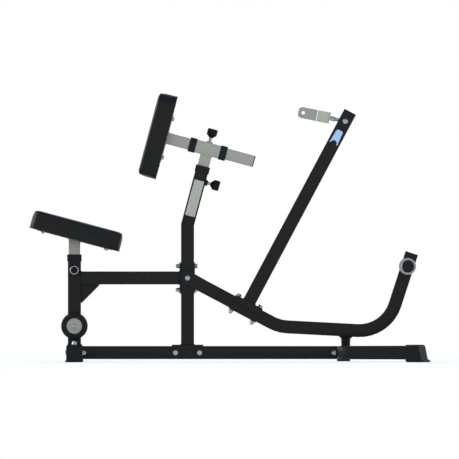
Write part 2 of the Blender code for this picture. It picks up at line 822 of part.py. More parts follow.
def make_frame_bolts(steel):
    """The bolts that hold the frame together."""
    front = SEAT_X + HALF + GAP + PLATE
    rear = REAR_X - HALF - GAP - PLATE
    flange = UPRIGHT_X - HALF - GAP - PLATE
    backing = UPRIGHT_X + HALF + GAP + THIN_PLATE
    plate = BASE_TOP + GAP + PLATE
    for side, name in ((-0.5, "near"), (0.5, "far")):
        spot = (side * BOLT_PITCH, BASE_Z)
        solid("front_bolt_" + name, bolt("x", SEAT_X - HALF, front, spot), steel)
        solid("rear_bolt_" + name, bolt("x", REAR_X + HALF, rear, spot), steel)
        spot = (SEAT_X, side * FOOT_BOLT_PITCH)
        solid("foot_bolt_" + name, bolt("z", SOLE, plate, spot, button=True), steel)
    for side, name in ((-0.5, "left"), (0.5, "right")):
        spot = (UPRIGHT_X + side * BOLT_PITCH, BASE_Z)
        body = bolt("y", -SKIRT_OUTSIDE, SKIRT_OUTSIDE, spot, button=True)
        solid("saddle_bolt_" + name, body, steel)
    for side, name in ((-0.5, "lower"), (0.5, "upper")):
        spot = (0.0, SEAT_BEAM_Z + side * BOLT_PITCH)
        solid("seat_beam_bolt_" + name, bolt("x", backing, flange, spot), steel)


def make_bushings(plastic, upper):
    """The plastic bushings on the seat upright and on the chest upright."""
    body, cuts = bushing("z", SEAT_TUBE_TOP, 1.0)
    low = solid("seat_bushing", body, plastic, None, (), cuts)
    low.location = (SEAT_X, 0.0, 0.0)
    body, cuts = bushing("z", UPPER_TUBE, 1.0)
    solid("upright_bushing", body, plastic, upper, (), cuts)


def make_wheels(rubber, grey, steel):
    """Two transport wheels on a through axle in the seat upright."""
    inner = HALF + WHEEL_SIDE_PLAY
    outer = inner + WHEEL_WIDTH
    head = outer + WHEEL_SIDE_PLAY
    profile = [
        (AXLE_HEAD_RADIUS * 0.55, -head - AXLE_HEAD_HEIGHT),
        (AXLE_HEAD_RADIUS, -head - AXLE_HEAD_HEIGHT * 0.4),
        (AXLE_HEAD_RADIUS, -head),
        (AXLE_RADIUS, -head),
        (AXLE_RADIUS, head),
        (AXLE_HEAD_RADIUS, head),
        (AXLE_HEAD_RADIUS, head + AXLE_HEAD_HEIGHT * 0.4),
        (AXLE_HEAD_RADIUS * 0.55, head + AXLE_HEAD_HEIGHT),
    ]
    solid("wheel_axle", turned("y", profile, (SEAT_X, WHEEL_Z), 16), steel)
    for out, name in ((-1.0, "near"), (1.0, "far")):
        hinge = guide("wheel_" + name, Matrix.Translation(Vector((SEAT_X, 0, WHEEL_Z))))
        low = out * inner
        high = out * outer
        edge = out * WHEEL_EDGE
        bore = HUB_RADIUS + GAP
        tyre = [
            (bore, low),
            (WHEEL_RADIUS - WHEEL_EDGE, low),
            (WHEEL_RADIUS, low + edge),
            (WHEEL_RADIUS, high - edge),
            (WHEEL_RADIUS - WHEEL_EDGE * 0.3, high - edge * 0.3),
            (WHEEL_RADIUS - WHEEL_EDGE, high),
            (bore, high),
        ]
        solid("wheel_tyre_" + name, turned("y", tyre, sides=WHEEL_SIDES, closed=True), rubber, hinge)
        recess = out * HUB_RECESS
        eye = AXLE_RADIUS + BOLT_PLAY
        boss = AXLE_HEAD_RADIUS + 0.002
        hub = [
            (eye, low),
            (HUB_RADIUS, low),
            (HUB_RADIUS, high),
            (HUB_RADIUS - 0.004, high),
            (boss + 0.002, high - recess),
            (boss, high),
            (eye, high),
        ]
        solid("wheel_hub_" + name, turned("y", hub, sides=WHEEL_SIDES, closed=True), grey, hinge)


def make_pivot(steel, lever):
    """The pivot bush in the upright and the pivot bolt that turns in it."""
    face = HALF + GAP
    wide = face + BUSH_FLANGE
    eye = PIVOT_RADIUS + BOLT_PLAY
    profile = [
        (eye, -wide),
        (BUSH_FLANGE_RADIUS, -wide),
        (BUSH_FLANGE_RADIUS, -face),
        (BUSH_RADIUS, -face),
        (BUSH_RADIUS, face),
        (BUSH_FLANGE_RADIUS, face),
        (BUSH_FLANGE_RADIUS, wide),
        (eye, wide),
    ]
    solid("pivot_bush", turned("y", profile, (UPRIGHT_X, PIVOT_Z), 16, True), steel)
    head = CHEEK_OUTSIDE + GAP
    profile = [
        (BUTTON_RADIUS * 0.62, -head - BUTTON_HEIGHT),
        (BUTTON_RADIUS, -head - BUTTON_HEIGHT * 0.5),
        (BUTTON_RADIUS, -head),
        (PIVOT_RADIUS, -head),
        (PIVOT_RADIUS, head),
        (BUTTON_RADIUS, head),
        (BUTTON_RADIUS, head + BUTTON_HEIGHT * 0.5),
        (BUTTON_RADIUS * 0.62, head + BUTTON_HEIGHT),
    ]
    solid("pivot_bolt", turned("y", profile, sides=16), steel, lever)


def direction(degrees):
    """A unit direction in the lever's plane, from its X axis toward its Z axis."""
    turn = math.radians(degrees)
    return Vector((math.cos(turn), 0, math.sin(turn)))


def make_arm(black, lever, tail):
    """The bent lever arm with its fork cheeks and its weight bar."""
    first = Vector((ARM_FIRST, 0, 0))
    second = first + direction(ARM_BEND_ONE) * ARM_SECOND
    end = second + direction(ARM_BEND_ONE + ARM_BEND_TWO) * ARM_THIRD
    corners = [Vector((ARM_START, 0, 0)), first, second, end]
    path = rounded_path(corners, ARM_BEND_RADIUS, (ARM_STEPS_ONE, ARM_STEPS_TWO))
    arm = square_tube(path, Vector((0, 1, 0)))
    outline = []
    for step in range(11):
        turn = math.radians(90 + 180 * step / 10)
        outline.append((CHEEK_END_RADIUS * math.cos(turn), CHEEK_END_RADIUS * math.sin(turn)))
    outline.append((ARM_START, -HALF))
    outline.append((CHEEK_REACH, -HALF))
    outline.append((CHEEK_REACH, HALF))
    outline.append((ARM_START, HALF))
    joins = []
    for out in (-1.0, 1.0):
        joins.append(prism("y", outline, out * CHEEK_INSIDE, out * CHEEK_OUTSIDE))
        flat = HALF - TUBE_CORNER
        inner = out * (HALF - WELD)
        outer = out * (CHEEK_INSIDE + CHEEK / 2)
        low = min(inner, outer)
        high = max(inner, outer)
        joins.append(box((ARM_START + 0.001, low, -flat), (CHEEK_REACH - 0.001, high, flat)))
    reach = HALF + GAP + COLLAR_WIDTH + SLEEVE_LENGTH - PLUG_DEPTH
    bar = rod("y", BAR_RADIUS, -reach, reach, (SLEEVE_PLACE, 0.0))
    bore = rod("y", BAR_RADIUS - BAR_WALL, -reach - 0.01, reach + 0.01, (SLEEVE_PLACE, 0.0))
    bar.transform(tail)
    bore.transform(tail)
    joins.append(bar)
    cuts = [bore, rod("y", PIVOT_RADIUS + BOLT_PLAY, -TUBE, TUBE, (0.0, 0.0), 16)]
    for side in (-0.5, 0.5):
        cuts.append(bolt_hole("z", (POST_PLACE + side * BOLT_PITCH, 0.0), -TUBE, TUBE))
    solid("lever_arm", arm, black, lever, joins, cuts)


def make_arm_trim(chrome, plastic, rubber, lever, tail_guide):
    """The arm's end cap, the chrome weight sleeves with their caps, and the bumper."""
    plug = tube_plug(TUBE, TUBE_WALL, TUBE_CORNER)
    plug.transform(Matrix.Translation(Vector((ARM_THIRD, 0, 0))))
    solid("arm_cap", plug, plastic, tail_guide)
    for out, name in ((-1.0, "near"), (1.0, "far")):
        face = HALF + GAP
        step = face + COLLAR_WIDTH
        end = step + SLEEVE_LENGTH
        eye = BAR_RADIUS + GAP
        profile = [
            (eye, out * face),
            (COLLAR_RADIUS, out * face),
            (COLLAR_RADIUS, out * (step - 0.0015)),
            (COLLAR_RADIUS - 0.0015, out * step),
            (SLEEVE_RADIUS, out * step),
            (SLEEVE_RADIUS, out * (end - 0.001)),
            (SLEEVE_RADIUS - 0.001, out * end),
            (eye, out * end),
        ]
        body = turned("y", profile, (SLEEVE_PLACE, 0.0), 24, True)
        solid("weight_sleeve_" + name, body, chrome, tail_guide)
        rim = end + GAP
        stem = (BAR_RADIUS - BAR_WALL) * math.cos(math.pi / BOLT_SIDES) - GAP
        profile = [
            (stem, out * (end - PLUG_DEPTH * 2)),
            (stem, out * rim),
            (SLEEVE_CAP_RADIUS, out * rim),
            (SLEEVE_CAP_RADIUS, out * (rim + SLEEVE_CAP_WIDTH * 0.6)),
            (SLEEVE_CAP_RADIUS - 0.002, out * (rim + SLEEVE_CAP_WIDTH)),
        ]
        body = turned("y", profile, (SLEEVE_PLACE, 0.0), TURN_SIDES)
        solid("sleeve_cap_" + name, body, plastic, tail_guide)

    stop_x = REAR_X + STOP_X_OFFSET
    low = BASE_TOP + GAP + STOP_HEIGHT
    slope = math.radians(ARM_SLOPE - ARM_BEND_ONE)
    knee = Vector((UPRIGHT_X, 0, PIVOT_Z)) + direction(-ARM_SLOPE) * ARM_FIRST
    run = stop_x - knee.x
    under = knee.z - run * math.tan(slope) - (HALF + GAP) / math.cos(slope)
    rings = []
    sizes = (
        (BUMPER_TIP_RADIUS - 0.0015, low, 0.0),
        (BUMPER_TIP_RADIUS, low + 0.0015, 0.0),
        (BUMPER_NECK_RADIUS, under - BUMPER_FLANGE_HEIGHT, 1.0),
        (BUMPER_FLANGE_RADIUS - 0.001, under - BUMPER_FLANGE_HEIGHT * 0.5, 1.0),
        (BUMPER_FLANGE_RADIUS, under - BUMPER_FLANGE_HEIGHT * 0.3, 1.0),
        (BUMPER_FLANGE_RADIUS, under, 1.0),
    )
    for radius, height, share in sizes:
        ring = []
        for u, v in circle(radius, TURN_SIDES):
            ring.append(Vector((stop_x + u, v, height - share * u * math.tan(slope))))
        rings.append(ring)
    body = loft(rings)
    body.transform(lever.matrix_local.inverted())
    solid("bumper", body, rubber, lever)


def make_post(black, steel, plastic, lever):
    """The pull post with its saddle, and the plate, bolts and cap that go with it."""
    top = HALF + GAP + PLATE
    under = -HALF - GAP - THIN_PLATE
    high = HALF + HANDLE_HEIGHT + POST_ABOVE_PIN - GAP - TUBE_CAP
    ends = [Vector((POST_PLACE, 0, top - WELD)), Vector((POST_PLACE, 0, high))]
    post = square_tube(ends, Vector((0, 1, 0)))
    joins = [channel(POST_PLACE, CLAMP_LENGTH, top, HALF - SADDLE_SKIRT, HALF + GAP)]
    pin_z = HALF + HANDLE_HEIGHT
    slot_front = POST_PLACE - HALF - 0.01
    slot_back = POST_PLACE - HALF + TUBE_WALL + 0.005
    droop = math.radians(ARM_SLOPE - HANDLE_RISE)
    slot_low = pin_z - HALF * math.tan(droop) - ROD_RADIUS / math.cos(droop) - GAP
    slot = box(
        (slot_front, -SLOT_WIDTH / 2, slot_low),
        (slot_back, SLOT_WIDTH / 2, slot_low + SLOT_HEIGHT),
    )
    cuts = [slot, rod("y", PIN_RADIUS + BOLT_PLAY, -TUBE, TUBE, (POST_PLACE, pin_z))]
    lower_cuts = []
    for side in (-0.5, 0.5):
        spot = (POST_PLACE + side * BOLT_PITCH, 0.0)
        cuts.append(bolt_hole("z", spot, HALF - 0.01, top + 0.01))
        lower_cuts.append(bolt_hole("z", spot, under - 0.01, -HALF + 0.01))
    solid("lever_post", post, black, lever, joins, cuts)

    skirt = -HALF + SADDLE_SKIRT
    plate = channel(POST_PLACE, CLAMP_LENGTH, under, skirt, HALF + GAP, THIN_PLATE)
    solid("clamp_plate", plate, black, lever, (), lower_cuts)
    for side, name in ((-0.5, "upper"), (0.5, "lower")):
        spot = (POST_PLACE + side * BOLT_PITCH, 0.0)
        solid("clamp_bolt_" + name, bolt("z", top, under, spot), steel, lever)

    plug = tube_plug(TUBE, TUBE_WALL, TUBE_CORNER)
    stand = Matrix.Translation(Vector((POST_PLACE, 0, high))) @ Matrix.Rotation(math.radians(-90), 4, "Y")
    plug.transform(stand)
    solid("post_cap", plug, plastic, lever)

    pin = bolt("y", -HALF, HALF, (POST_PLACE, pin_z), PIN_RADIUS, True)
    solid("handle_pin", pin, steel, lever)


def make_handle(steel, grey, carrier, swivel):
    """The eye rod in the post, the block that it carries and the clevis that swivels on it."""
    plate_face = SHANK_END + SHOULDER_LENGTH
    block_face = plate_face + CARRIER_PLATE + GAP
    block_end = block_face + BLOCK_LENGTH
    clevis_face = block_end + SWIVEL_SPACE
    clevis_end = clevis_face + CLEVIS_LENGTH
    eye = rod("y", EYE_RADIUS, -EYE_WIDTH / 2, EYE_WIDTH / 2, (0.0, 0.0), TURN_SIDES)
    profile = [
        (ROD_RADIUS, EYE_RADIUS * 0.6),
        (ROD_RADIUS, SHANK_END),
        (SHOULDER_RADIUS, SHANK_END + 0.002),
        (SHOULDER_RADIUS, plate_face + 0.001),
    ]
    shank = turned("x", profile, sides=16)
    size = CARRIER_PLATE_SIZE
    plate = prism("x", rounded(size, size, 0.003), plate_face, plate_face + CARRIER_PLATE)
    cuts = [rod("y", PIN_RADIUS + BOLT_PLAY, -TUBE, TUBE)]
    solid("eye_rod", eye, steel, carrier, [shank, plate], cuts)

    size = BLOCK_SIZE
    small = rounded(size - BLOCK_EDGE, size - BLOCK_EDGE, 0.002)
    full = rounded(size, size, 0.0035)
    steps = [
        (small, block_face),
        (full, block_face + BLOCK_EDGE / 2),
        (full, block_end - BLOCK_EDGE / 2),
        (small, block_end),
    ]
    bridge = clevis_face + CLEVIS_WALL
    nut = bridge + GAP
    spindle = [
        (circle(SWIVEL_RADIUS, BOLT_SIDES), block_end - 0.005),
        (circle(SWIVEL_RADIUS, BOLT_SIDES), nut),
        (circle(WASHER_RADIUS, BOLT_SIDES), nut),
        (circle(WASHER_RADIUS, BOLT_SIDES), nut + WASHER_HEIGHT * 0.9),
        (hexagon(SWIVEL_NUT_RADIUS, BOLT_SIDES), nut + WASHER_HEIGHT),
        (hexagon(SWIVEL_NUT_RADIUS, BOLT_SIDES), nut + WASHER_HEIGHT + SWIVEL_NUT_HEIGHT),
    ]
    collar = rod("x", WASHER_RADIUS, block_end - 0.001, clevis_face - GAP, sides=BOLT_SIDES)
    body = rings_along("x", steps, (0.0, 0.0))
    solid("swivel_block", body, grey, carrier, [collar, rings_along("x", spindle, (0.0, 0.0))])

    half = CLEVIS_SIZE / 2
    outline = [(clevis_face, -half)]
    for start, level in ((270, -1.0), (0, 1.0)):
        for step in range(6):
            turn = math.radians(start + 90 * step / 5)
            across = clevis_end - CLEVIS_CORNER + CLEVIS_CORNER * math.cos(turn)
            outline.append((across, level * (half - CLEVIS_CORNER) + CLEVIS_CORNER * math.sin(turn)))
    outline.append((clevis_face, half))
    body = prism("y", outline, -half, half)
    room = half - CLEVIS_WALL
    eye_x = clevis_end - CLEVIS_EYE_BACK
    cuts = [
        box((bridge, -room, -half - 0.01), (clevis_end + 0.01, room, half + 0.01)),
        rod("x", SWIVEL_RADIUS + BOLT_PLAY, clevis_face - 0.01, bridge + 0.01, sides=BOLT_SIDES),
        rod("y", CLEVIS_EYE_RADIUS, -TUBE, TUBE, (eye_x, 0.0), 16),
    ]
    solid("swivel_clevis", body, steel, swivel, (), cuts)


def pad_ring(length, width, inset, height):
    """One level ring of a cushion, drawn in from its plan outline."""
    corner = max(PAD_CORNER - inset, 0.006)
    outline = rounded(length - 2 * inset, width - 2 * inset, corner, 5)
    return [Vector((u, v, height)) for u, v in outline]


def cushion(length, width):
    """A stuffed pad on its board's side: round edges, drawn-in sides and a crown."""
    rings = [
        pad_ring(length, width, PAD_EDGE * 0.9, 0.0),
        pad_ring(length, width, PAD_EDGE * 0.35, PAD_EDGE * 0.18),
        pad_ring(length, width, 0.0, PAD_EDGE),
        pad_ring(length, width, PAD_WAIST, PAD_THICKNESS * 0.38),
        pad_ring(length, width, PAD_WAIST * 0.6, PAD_THICKNESS * 0.6),
    ]
    flat = min(length, width) / 2
    shoulder = PAD_THICKNESS - PAD_CROWN
    for step in range(5):
        turn = math.radians(90 * step / 4)
        inset = PAD_TOP_EDGE * (1 - math.cos(turn))
        rings.append(pad_ring(length, width, inset, shoulder - PAD_TOP_EDGE * (1 - math.sin(turn))))
    for share in (0.2, 0.4, 0.65, 0.9):
        inset = PAD_TOP_EDGE + (flat - PAD_TOP_EDGE) * share
        rise = PAD_CROWN * (1 - (1 - share) ** 2)
        rings.append(pad_ring(length, width, inset, shoulder + rise))
    return loft(rings)


def board(length, width, along, sideways):
    """A pad's board with its four bolts, whose heads hold the plate under it."""
    long_side = length - 2 * BOARD_INSET
    wide_side = width - 2 * BOARD_INSET
    outline = rounded(long_side, wide_side, PAD_CORNER - BOARD_INSET, 3)
    body = prism("z", outline, 0.0, BOARD_THICKNESS)
    face = -GAP - PAD_PLATE - GAP
    joins = []
    for u in (-along, along):
        for v in (-sideways, sideways):
            steps = [
                (circle(PAD_BOLT_RADIUS, 6), BOARD_THICKNESS / 2),
                (circle(PAD_BOLT_RADIUS, 6), face),
                (circle(PAD_BOLT_HEAD, 6), face),
                (circle(PAD_BOLT_HEAD, 6), face - PAD_BOLT_HEAD_HEIGHT),
            ]
            joins.append(rings_along("z", steps, (u, v)))
    return body, joins


def board_pocket(length, width):
    """The cutter of the room that the board takes in its cushion."""
    long_side = length - 2 * BOARD_INSET + 2 * GAP
    wide_side = width - 2 * BOARD_INSET + 2 * GAP
    outline = rounded(long_side, wide_side, PAD_CORNER - BOARD_INSET + GAP, 3)
    return prism("z", outline, -0.01, BOARD_THICKNESS + GAP)


def pad_plate(length, along):
    """The welded plate under a pad's board, and the cutters of its bolt holes."""
    body = prism("z", rounded(length, PAD_PLATE_WIDTH, 0.006), -GAP - PAD_PLATE, -GAP)
    cuts = []
    for u in (-along, along):
        for v in (-PAD_BOLT_SIDE, PAD_BOLT_SIDE):
            cuts.append(rod("z", PAD_BOLT_RADIUS + BOLT_PLAY, -0.02, 0.01, (u, v), 8))
    return body, cuts


def make_seat(paint, wood, vinyl, steel, seat, seat_pad):
    """The seat post with its plate, the board, the cushion and the seat's pull pin."""
    frame = seat_pad.matrix_local
    middle = seat.matrix_local.translation.z
    slope = math.tan(math.radians(SEAT_TILT))
    depth = (GAP + PAD_PLATE) / math.cos(math.radians(SEAT_TILT))
    low = SEAT_POST_BOTTOM - middle
    high = SEAT_PAD_Z - middle - depth + WELD
    outer = rounded(INNER_TUBE, INNER_TUBE, INNER_CORNER)
    inner = square(INNER_TUBE - 2 * INNER_WALL)
    rings = []
    for outline in (outer, inner):
        pair = [[Vector((u, v, low)) for u, v in outline]]
        pair.append([Vector((u, v, high - u * slope)) for u, v in outline])
        rings.append(pair)
    post = hollow(rings[0], rings[1])
    plate, holes = pad_plate(SEAT_PLATE_LENGTH, SEAT_BOLT_PLACE)
    plate.transform(frame)
    for hole in holes:
        hole.transform(frame)
    pin_z = SEAT_PIN_Z - middle
    row = hole_row("y", lambda place: (0.0, place), pin_z, -INNER_TUBE, 0.0)
    solid("seat_post", post, paint, seat, [plate], holes + row)

    body, joins = board(SEAT_PAD_LENGTH, SEAT_PAD_WIDTH, SEAT_BOLT_PLACE, PAD_BOLT_SIDE)
    solid("seat_board", body, wood, seat_pad, joins)
    body = cushion(SEAT_PAD_LENGTH, SEAT_PAD_WIDTH)
    pocket = board_pocket(SEAT_PAD_LENGTH, SEAT_PAD_WIDTH)
    solid("seat_cushion", body, vinyl, seat_pad, (), [pocket])

    slide = guide("seat_pin_slide", Matrix.Translation(Vector((SEAT_X, 0, SEAT_PIN_Z))))
    solid("seat_pin", pull_pin("y", (0.0, 0.0), -1.0, 0.0, SHORT_BOSS), steel, slide)


def make_riser(paint, plastic, steel, riser, upper):
    """The chest riser with its cross sleeve, its bushings, and the riser's pull pin."""
    top = SLEEVE_RISE - HALF + WELD
    ends = [Vector((0, 0, RISER_BOTTOM)), Vector((0, 0, top))]
    tube = square_tube(ends, Vector((0, 1, 0)), INNER_TUBE, INNER_WALL, INNER_CORNER)
    ends = [Vector((-SLEEVE_HALF, 0, SLEEVE_RISE)), Vector((SLEEVE_HALF, 0, SLEEVE_RISE))]
    cross = square_tube(ends, Vector((0, 1, 0)))
    face = SLEEVE_RISE + HALF
    nut = prism("z", hexagon(BOSS_RADIUS, BOLT_SIDES), face - WELD, face + SHORT_BOSS)
    cuts = [rod("z", PIN_TIP_RADIUS + BOLT_PLAY, SLEEVE_RISE, face + 0.02, sides=16)]
    cuts += hole_row("x", lambda place: (0.0, place), RISER_PIN_RISE, 0.0, INNER_TUBE)
    solid("chest_riser", cross, paint, riser, [tube, nut], cuts)

    for out, name in ((-1.0, "front"), (1.0, "rear")):
        body, cuts = bushing("x", out * SLEEVE_HALF, out)
        lift = Matrix.Translation(Vector((0, 0, SLEEVE_RISE)))
        body.transform(lift)
        for shape in cuts:
            shape.transform(lift)
        solid("sleeve_bushing_" + name, body, plastic, riser, (), cuts)

    slide = guide("riser_pin_slide", Matrix.Translation(Vector((0, 0, RISER_PIN_RISE))), upper)
    solid("riser_pin", pull_pin("x", (0.0, 0.0), 1.0, 0.0, LONG_BOSS), steel, slide)
    slide = guide("slide_pin_slide", Matrix.Translation(Vector((0, 0, SLEEVE_RISE))), riser)
    solid("slide_pin", pull_pin("z", (0.0, 0.0), 1.0, 0.0, SHORT_BOSS), steel, slide)


def make_slide(paint, plastic, wood, vinyl, slide):
    """The chest slide tube with its plate, its cap, the board and the cushion."""
    face = CHEST_PAD_BACK
    stand = Matrix.Translation(Vector((-face, 0, 0))) @ Matrix.Rotation(math.radians(-90), 4, "Y")
    plate, holes = pad_plate(CHEST_PLATE_HEIGHT, CHEST_BOLT_PLACE)
    plate.transform(stand)
    for hole in holes:
        hole.transform(stand)
    start = -face + GAP + PAD_PLATE - WELD
    end = SLIDE_REAR - TUBE_CAP - GAP
    ends = [Vector((start, 0, 0)), Vector((end, 0, 0))]
    tube = square_tube(ends, Vector((0, 1, 0)), INNER_TUBE, INNER_WALL, INNER_CORNER)
    row = hole_row("z", lambda place: (-place, 0.0), 0.0, 0.0, INNER_TUBE)
    solid("slide_tube", tube, paint, slide, [plate], holes + row)

    plug = tube_plug(INNER_TUBE, INNER_WALL, INNER_CORNER)
    plug.transform(Matrix.Translation(Vector((end, 0, 0))))
    solid("slide_cap", plug, plastic, slide)

    body, joins = board(CHEST_PAD_HEIGHT, CHEST_PAD_WIDTH, CHEST_BOLT_PLACE, PAD_BOLT_SIDE)
    body.transform(stand)
    for shape in joins:
        shape.transform(stand)
    solid("chest_board", body, wood, slide, joins)
    body = cushion(CHEST_PAD_HEIGHT, CHEST_PAD_WIDTH)
    pocket = board_pocket(CHEST_PAD_HEIGHT, CHEST_PAD_WIDTH)
    body.transform(stand)
    pocket.transform(stand)
    solid("chest_cushion", body, vinyl, slide, (), [pocket])


def main():
    """Clears the scene and builds every piece."""
    for thing in list(bpy.data.objects):
        bpy.data.objects.remove(thing)

    black = material("black_powder_coat", (42, 43, 43), 0.42, 0.0)
    paint = material("grey_paint", (150, 152, 142), 0.45, 0.0)
    plastic = material("black_plastic", (45, 47, 52), 0.5, 0.0)
    rubber = material("black_rubber", (36, 36, 37), 0.8, 0.0)
    vinyl = material("black_vinyl", (43, 45, 45), 0.5, 0.0)
    wood = material("pad_board", (120, 98, 72), 0.8, 0.0)
    grey = material("warm_grey", (170, 170, 158), 0.5, 0.2)
    steel = material("zinc_steel", (178, 178, 172), 0.3, 1.0)
    chrome = material("chrome", (205, 207, 208), 0.12, 1.0)

    upper = guide("upright_top", tilt((UPRIGHT_X, 0, BEND_Z), LEAN))
    riser = guide("chest_riser_slide", Matrix.Identity(4), upper)
    slide = guide("chest_pad_slide", Matrix.Translation(Vector((0, 0, SLEEVE_RISE))), riser)
    seat = guide("seat_slide", Matrix.Translation(Vector((SEAT_X, 0, SEAT_TUBE_TOP))))
    seat_pad = guide("seat_pad_tilt", tilt((0, 0, SEAT_PAD_Z - SEAT_TUBE_TOP), SEAT_TILT), seat)
    lever = guide("lever_pivot", tilt((UPRIGHT_X, 0, PIVOT_Z), ARM_SLOPE))
    knee = Vector((ARM_FIRST, 0, 0)) + direction(ARM_BEND_ONE) * ARM_SECOND
    tail = tilt(knee, -ARM_BEND_ONE - ARM_BEND_TWO)
    tail_guide = guide("weight_end", tail, lever)
    handle_turn = 180.0 + HANDLE_RISE - ARM_SLOPE
    carrier = guide("handle_pivot", tilt((POST_PLACE, 0, HALF + HANDLE_HEIGHT), handle_turn), lever)
    swivel = guide("clevis_swivel", Matrix.Identity(4), carrier)
    bpy.context.view_layer.update()

    make_base(black, plastic)
    make_rear(black, plastic, rubber)
    make_seat_frame(black)
    make_upright(black)
    make_frame_bolts(steel)
    make_bushings(plastic, upper)
    make_wheels(rubber, grey, steel)
    make_pivot(steel, lever)
    make_arm(black, lever, tail)
    make_arm_trim(chrome, plastic, rubber, lever, tail_guide)
    make_post(black, steel, plastic, lever)
    make_handle(steel, grey, carrier, swivel)
    make_seat(paint, wood, vinyl, steel, seat, seat_pad)
    make_riser(paint, plastic, steel, riser, upper)
    make_slide(paint, plastic, wood, vinyl, slide)
    bpy.context.view_layer.update()


main()
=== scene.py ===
"""Looks of the seated row machine: finishes, soft pads, turned parts, welds and the studio.

World metres, +Z up. The photograph looks along +Y at the machine's near side.
"""

import json
from math import atan2, cos, pi, radians, sin, tan, tau

import bmesh
import bpy
from mathutils import Matrix, Vector


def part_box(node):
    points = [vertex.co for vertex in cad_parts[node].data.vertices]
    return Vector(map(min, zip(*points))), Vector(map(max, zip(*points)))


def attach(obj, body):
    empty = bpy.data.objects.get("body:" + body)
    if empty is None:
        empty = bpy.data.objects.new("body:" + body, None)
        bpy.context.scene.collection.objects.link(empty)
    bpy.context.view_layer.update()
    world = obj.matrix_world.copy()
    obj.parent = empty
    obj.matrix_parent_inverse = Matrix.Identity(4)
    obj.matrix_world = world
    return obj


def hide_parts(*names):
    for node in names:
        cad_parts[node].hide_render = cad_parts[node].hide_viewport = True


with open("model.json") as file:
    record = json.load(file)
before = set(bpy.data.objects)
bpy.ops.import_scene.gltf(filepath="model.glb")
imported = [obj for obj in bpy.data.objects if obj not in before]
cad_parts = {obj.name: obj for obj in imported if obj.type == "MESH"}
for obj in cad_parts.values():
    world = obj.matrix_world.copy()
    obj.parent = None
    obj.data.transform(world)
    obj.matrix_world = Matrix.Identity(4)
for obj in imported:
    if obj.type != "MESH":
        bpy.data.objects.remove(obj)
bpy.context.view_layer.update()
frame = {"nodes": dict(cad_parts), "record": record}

# Places, sizes and slopes of the CAD model
GAP = 0.0003
TUBE = 0.0508
HALF = TUBE / 2
INNER_TUBE = 0.04445
PLATE = 0.005
SOLE = 0.0107
BASE_TOP = SOLE + TUBE
SEAT_X = -0.60444
UPRIGHT_X = -0.16439
REAR_X = 0.44231
SEAT_BEAM_Z = 0.3264
PIVOT_Z = 0.3264
BEND_Z = 0.5335
LEAN = 15.0
ARM_SLOPE = 28.0
POST_PLACE = 0.2555
PIN_HEIGHT = 0.8259
CARRIER_TURN = 163.5
CARRIER_BLOCK_END = 0.1103
SWIVEL_SPACE = 0.0027
CHEEK_REACH = 0.135
CHEEK_INSIDE = HALF + 0.0026
SLEEVE_RISE = 0.3043
CHEST_PAD_BACK = 0.1662
SEAT_PAD_Z = 0.476
SEAT_TILT = 15.0
SEAT_PIN_Z = 0.3571
RISER_PIN_RISE = 0.176
BUMPER_SLOPE = 3.0
GUSSET_LEG = 0.071
GUSSET_HALF = 0.0025
BOSS_RADIUS = 0.011
PAD_THICKNESS = 0.0725
SEAT_PAD = (0.36, 0.32)
CHEST_PAD = (0.332, 0.256)
PAD_CORNER = 0.038
BOARD_INSET = 0.016
BOARD_THICKNESS = 0.012
BOARD_BEVEL = 0.001
PAD_PLATE = 0.003
SEAT_BOLT_PLACE = 0.128
CHEST_BOLT_PLACE = 0.0775
PAD_BOLT_SIDE = 0.025

# The soft form of the pads
PAD_SWELL = 0.0016
SWELL_START = 0.006
SWELL_FULL = 0.028
SWELL_PRESSURE = 4.0
SWELL_FRAMES = 20
TOP_EDGE = 0.0085
TOP_RISE = 0.0006
TOP_STEPS = 4
TOP_SHARES = (0.25, 0.6, 0.92)
POCKET_MIDDLE = 0.01
POCKET_DEPTH = 0.006
POCKET_SLACK = 0.001
SMALLEST_CORNER = 0.006
PAD_VOXEL = 0.004
PAD_EASE = 6

# Edge roll and hem of a pad, in pairs of inset and height, then the hem's folds and staples
EDGE_ROLL = (
    (-0.0002, 0.0042), (-0.0007, 0.0034), (-0.0008, 0.0002), (-0.0004, -0.0006),
    (0.002, -0.0008), (0.007, -0.0008), (0.007, 0.001), (0.003, 0.0042),
)
HEM = ((0.0055, 0.0), (0.0055, -0.0006), (0.015, -0.001), (0.0262, -0.0009), (0.0268, 0.0002))
HEM_POINTS = 240
HEM_STEP = 0.004
FOLD_DEPTH = 0.0006
FOLD_TURN = 0.55
FOLD_DRIFT = 0.19
FOLD_REACH = 0.15
FOLD_INSET = 0.02
STAPLE_LENGTH = 0.01
STAPLE_WIDTH = 0.0011
STAPLE_CORNER = 0.0004
STAPLE_COUNT = 44
STAPLE_INSET = 0.0215
STAPLE_STEP = 0.002
STAPLE_DEPTH = 0.0012

# Bolts, washers and nuts
BOLT_SHANK = 0.005
PIN_SHANK = 0.006
PIVOT_SHANK = 0.008
SHANK_LAP = 0.001
BORE_PLAY = 0.0002
NUT_LENGTH = 0.016
WASHER = 0.002
WASHER_RADIUS = 0.0108
HEX_RADIUS = 0.0098
HEX_HEIGHT = 0.0075
DOME_RADIUS = 0.0072
BUTTON_RADIUS = 0.0115
BUTTON_HEIGHT = 0.007
PAD_SHANK = 0.004
PAD_WASHER = 0.0012
PAD_WASHER_RADIUS = 0.0088
PAD_HEX_RADIUS = 0.0078
PAD_HEX_HEIGHT = 0.0052
AXLE = 0.006
AXLE_HEAD = 0.006

# Transport wheels: a shoulder is pairs of depth below the tread and distance from the side
WHEEL_RADIUS = 0.0515
TYRE_SHOULDER = ((0.0058, 0.0002), (0.003, 0.0012), (0.001, 0.003), (0.0, 0.0055))
TYRE_GROOVES = (0.0085, 0.013, 0.0175)
GROOVE_DEPTH = 0.0011
GROOVE_HALF = 0.0011
GROOVE_FLOOR_HALF = 0.0005

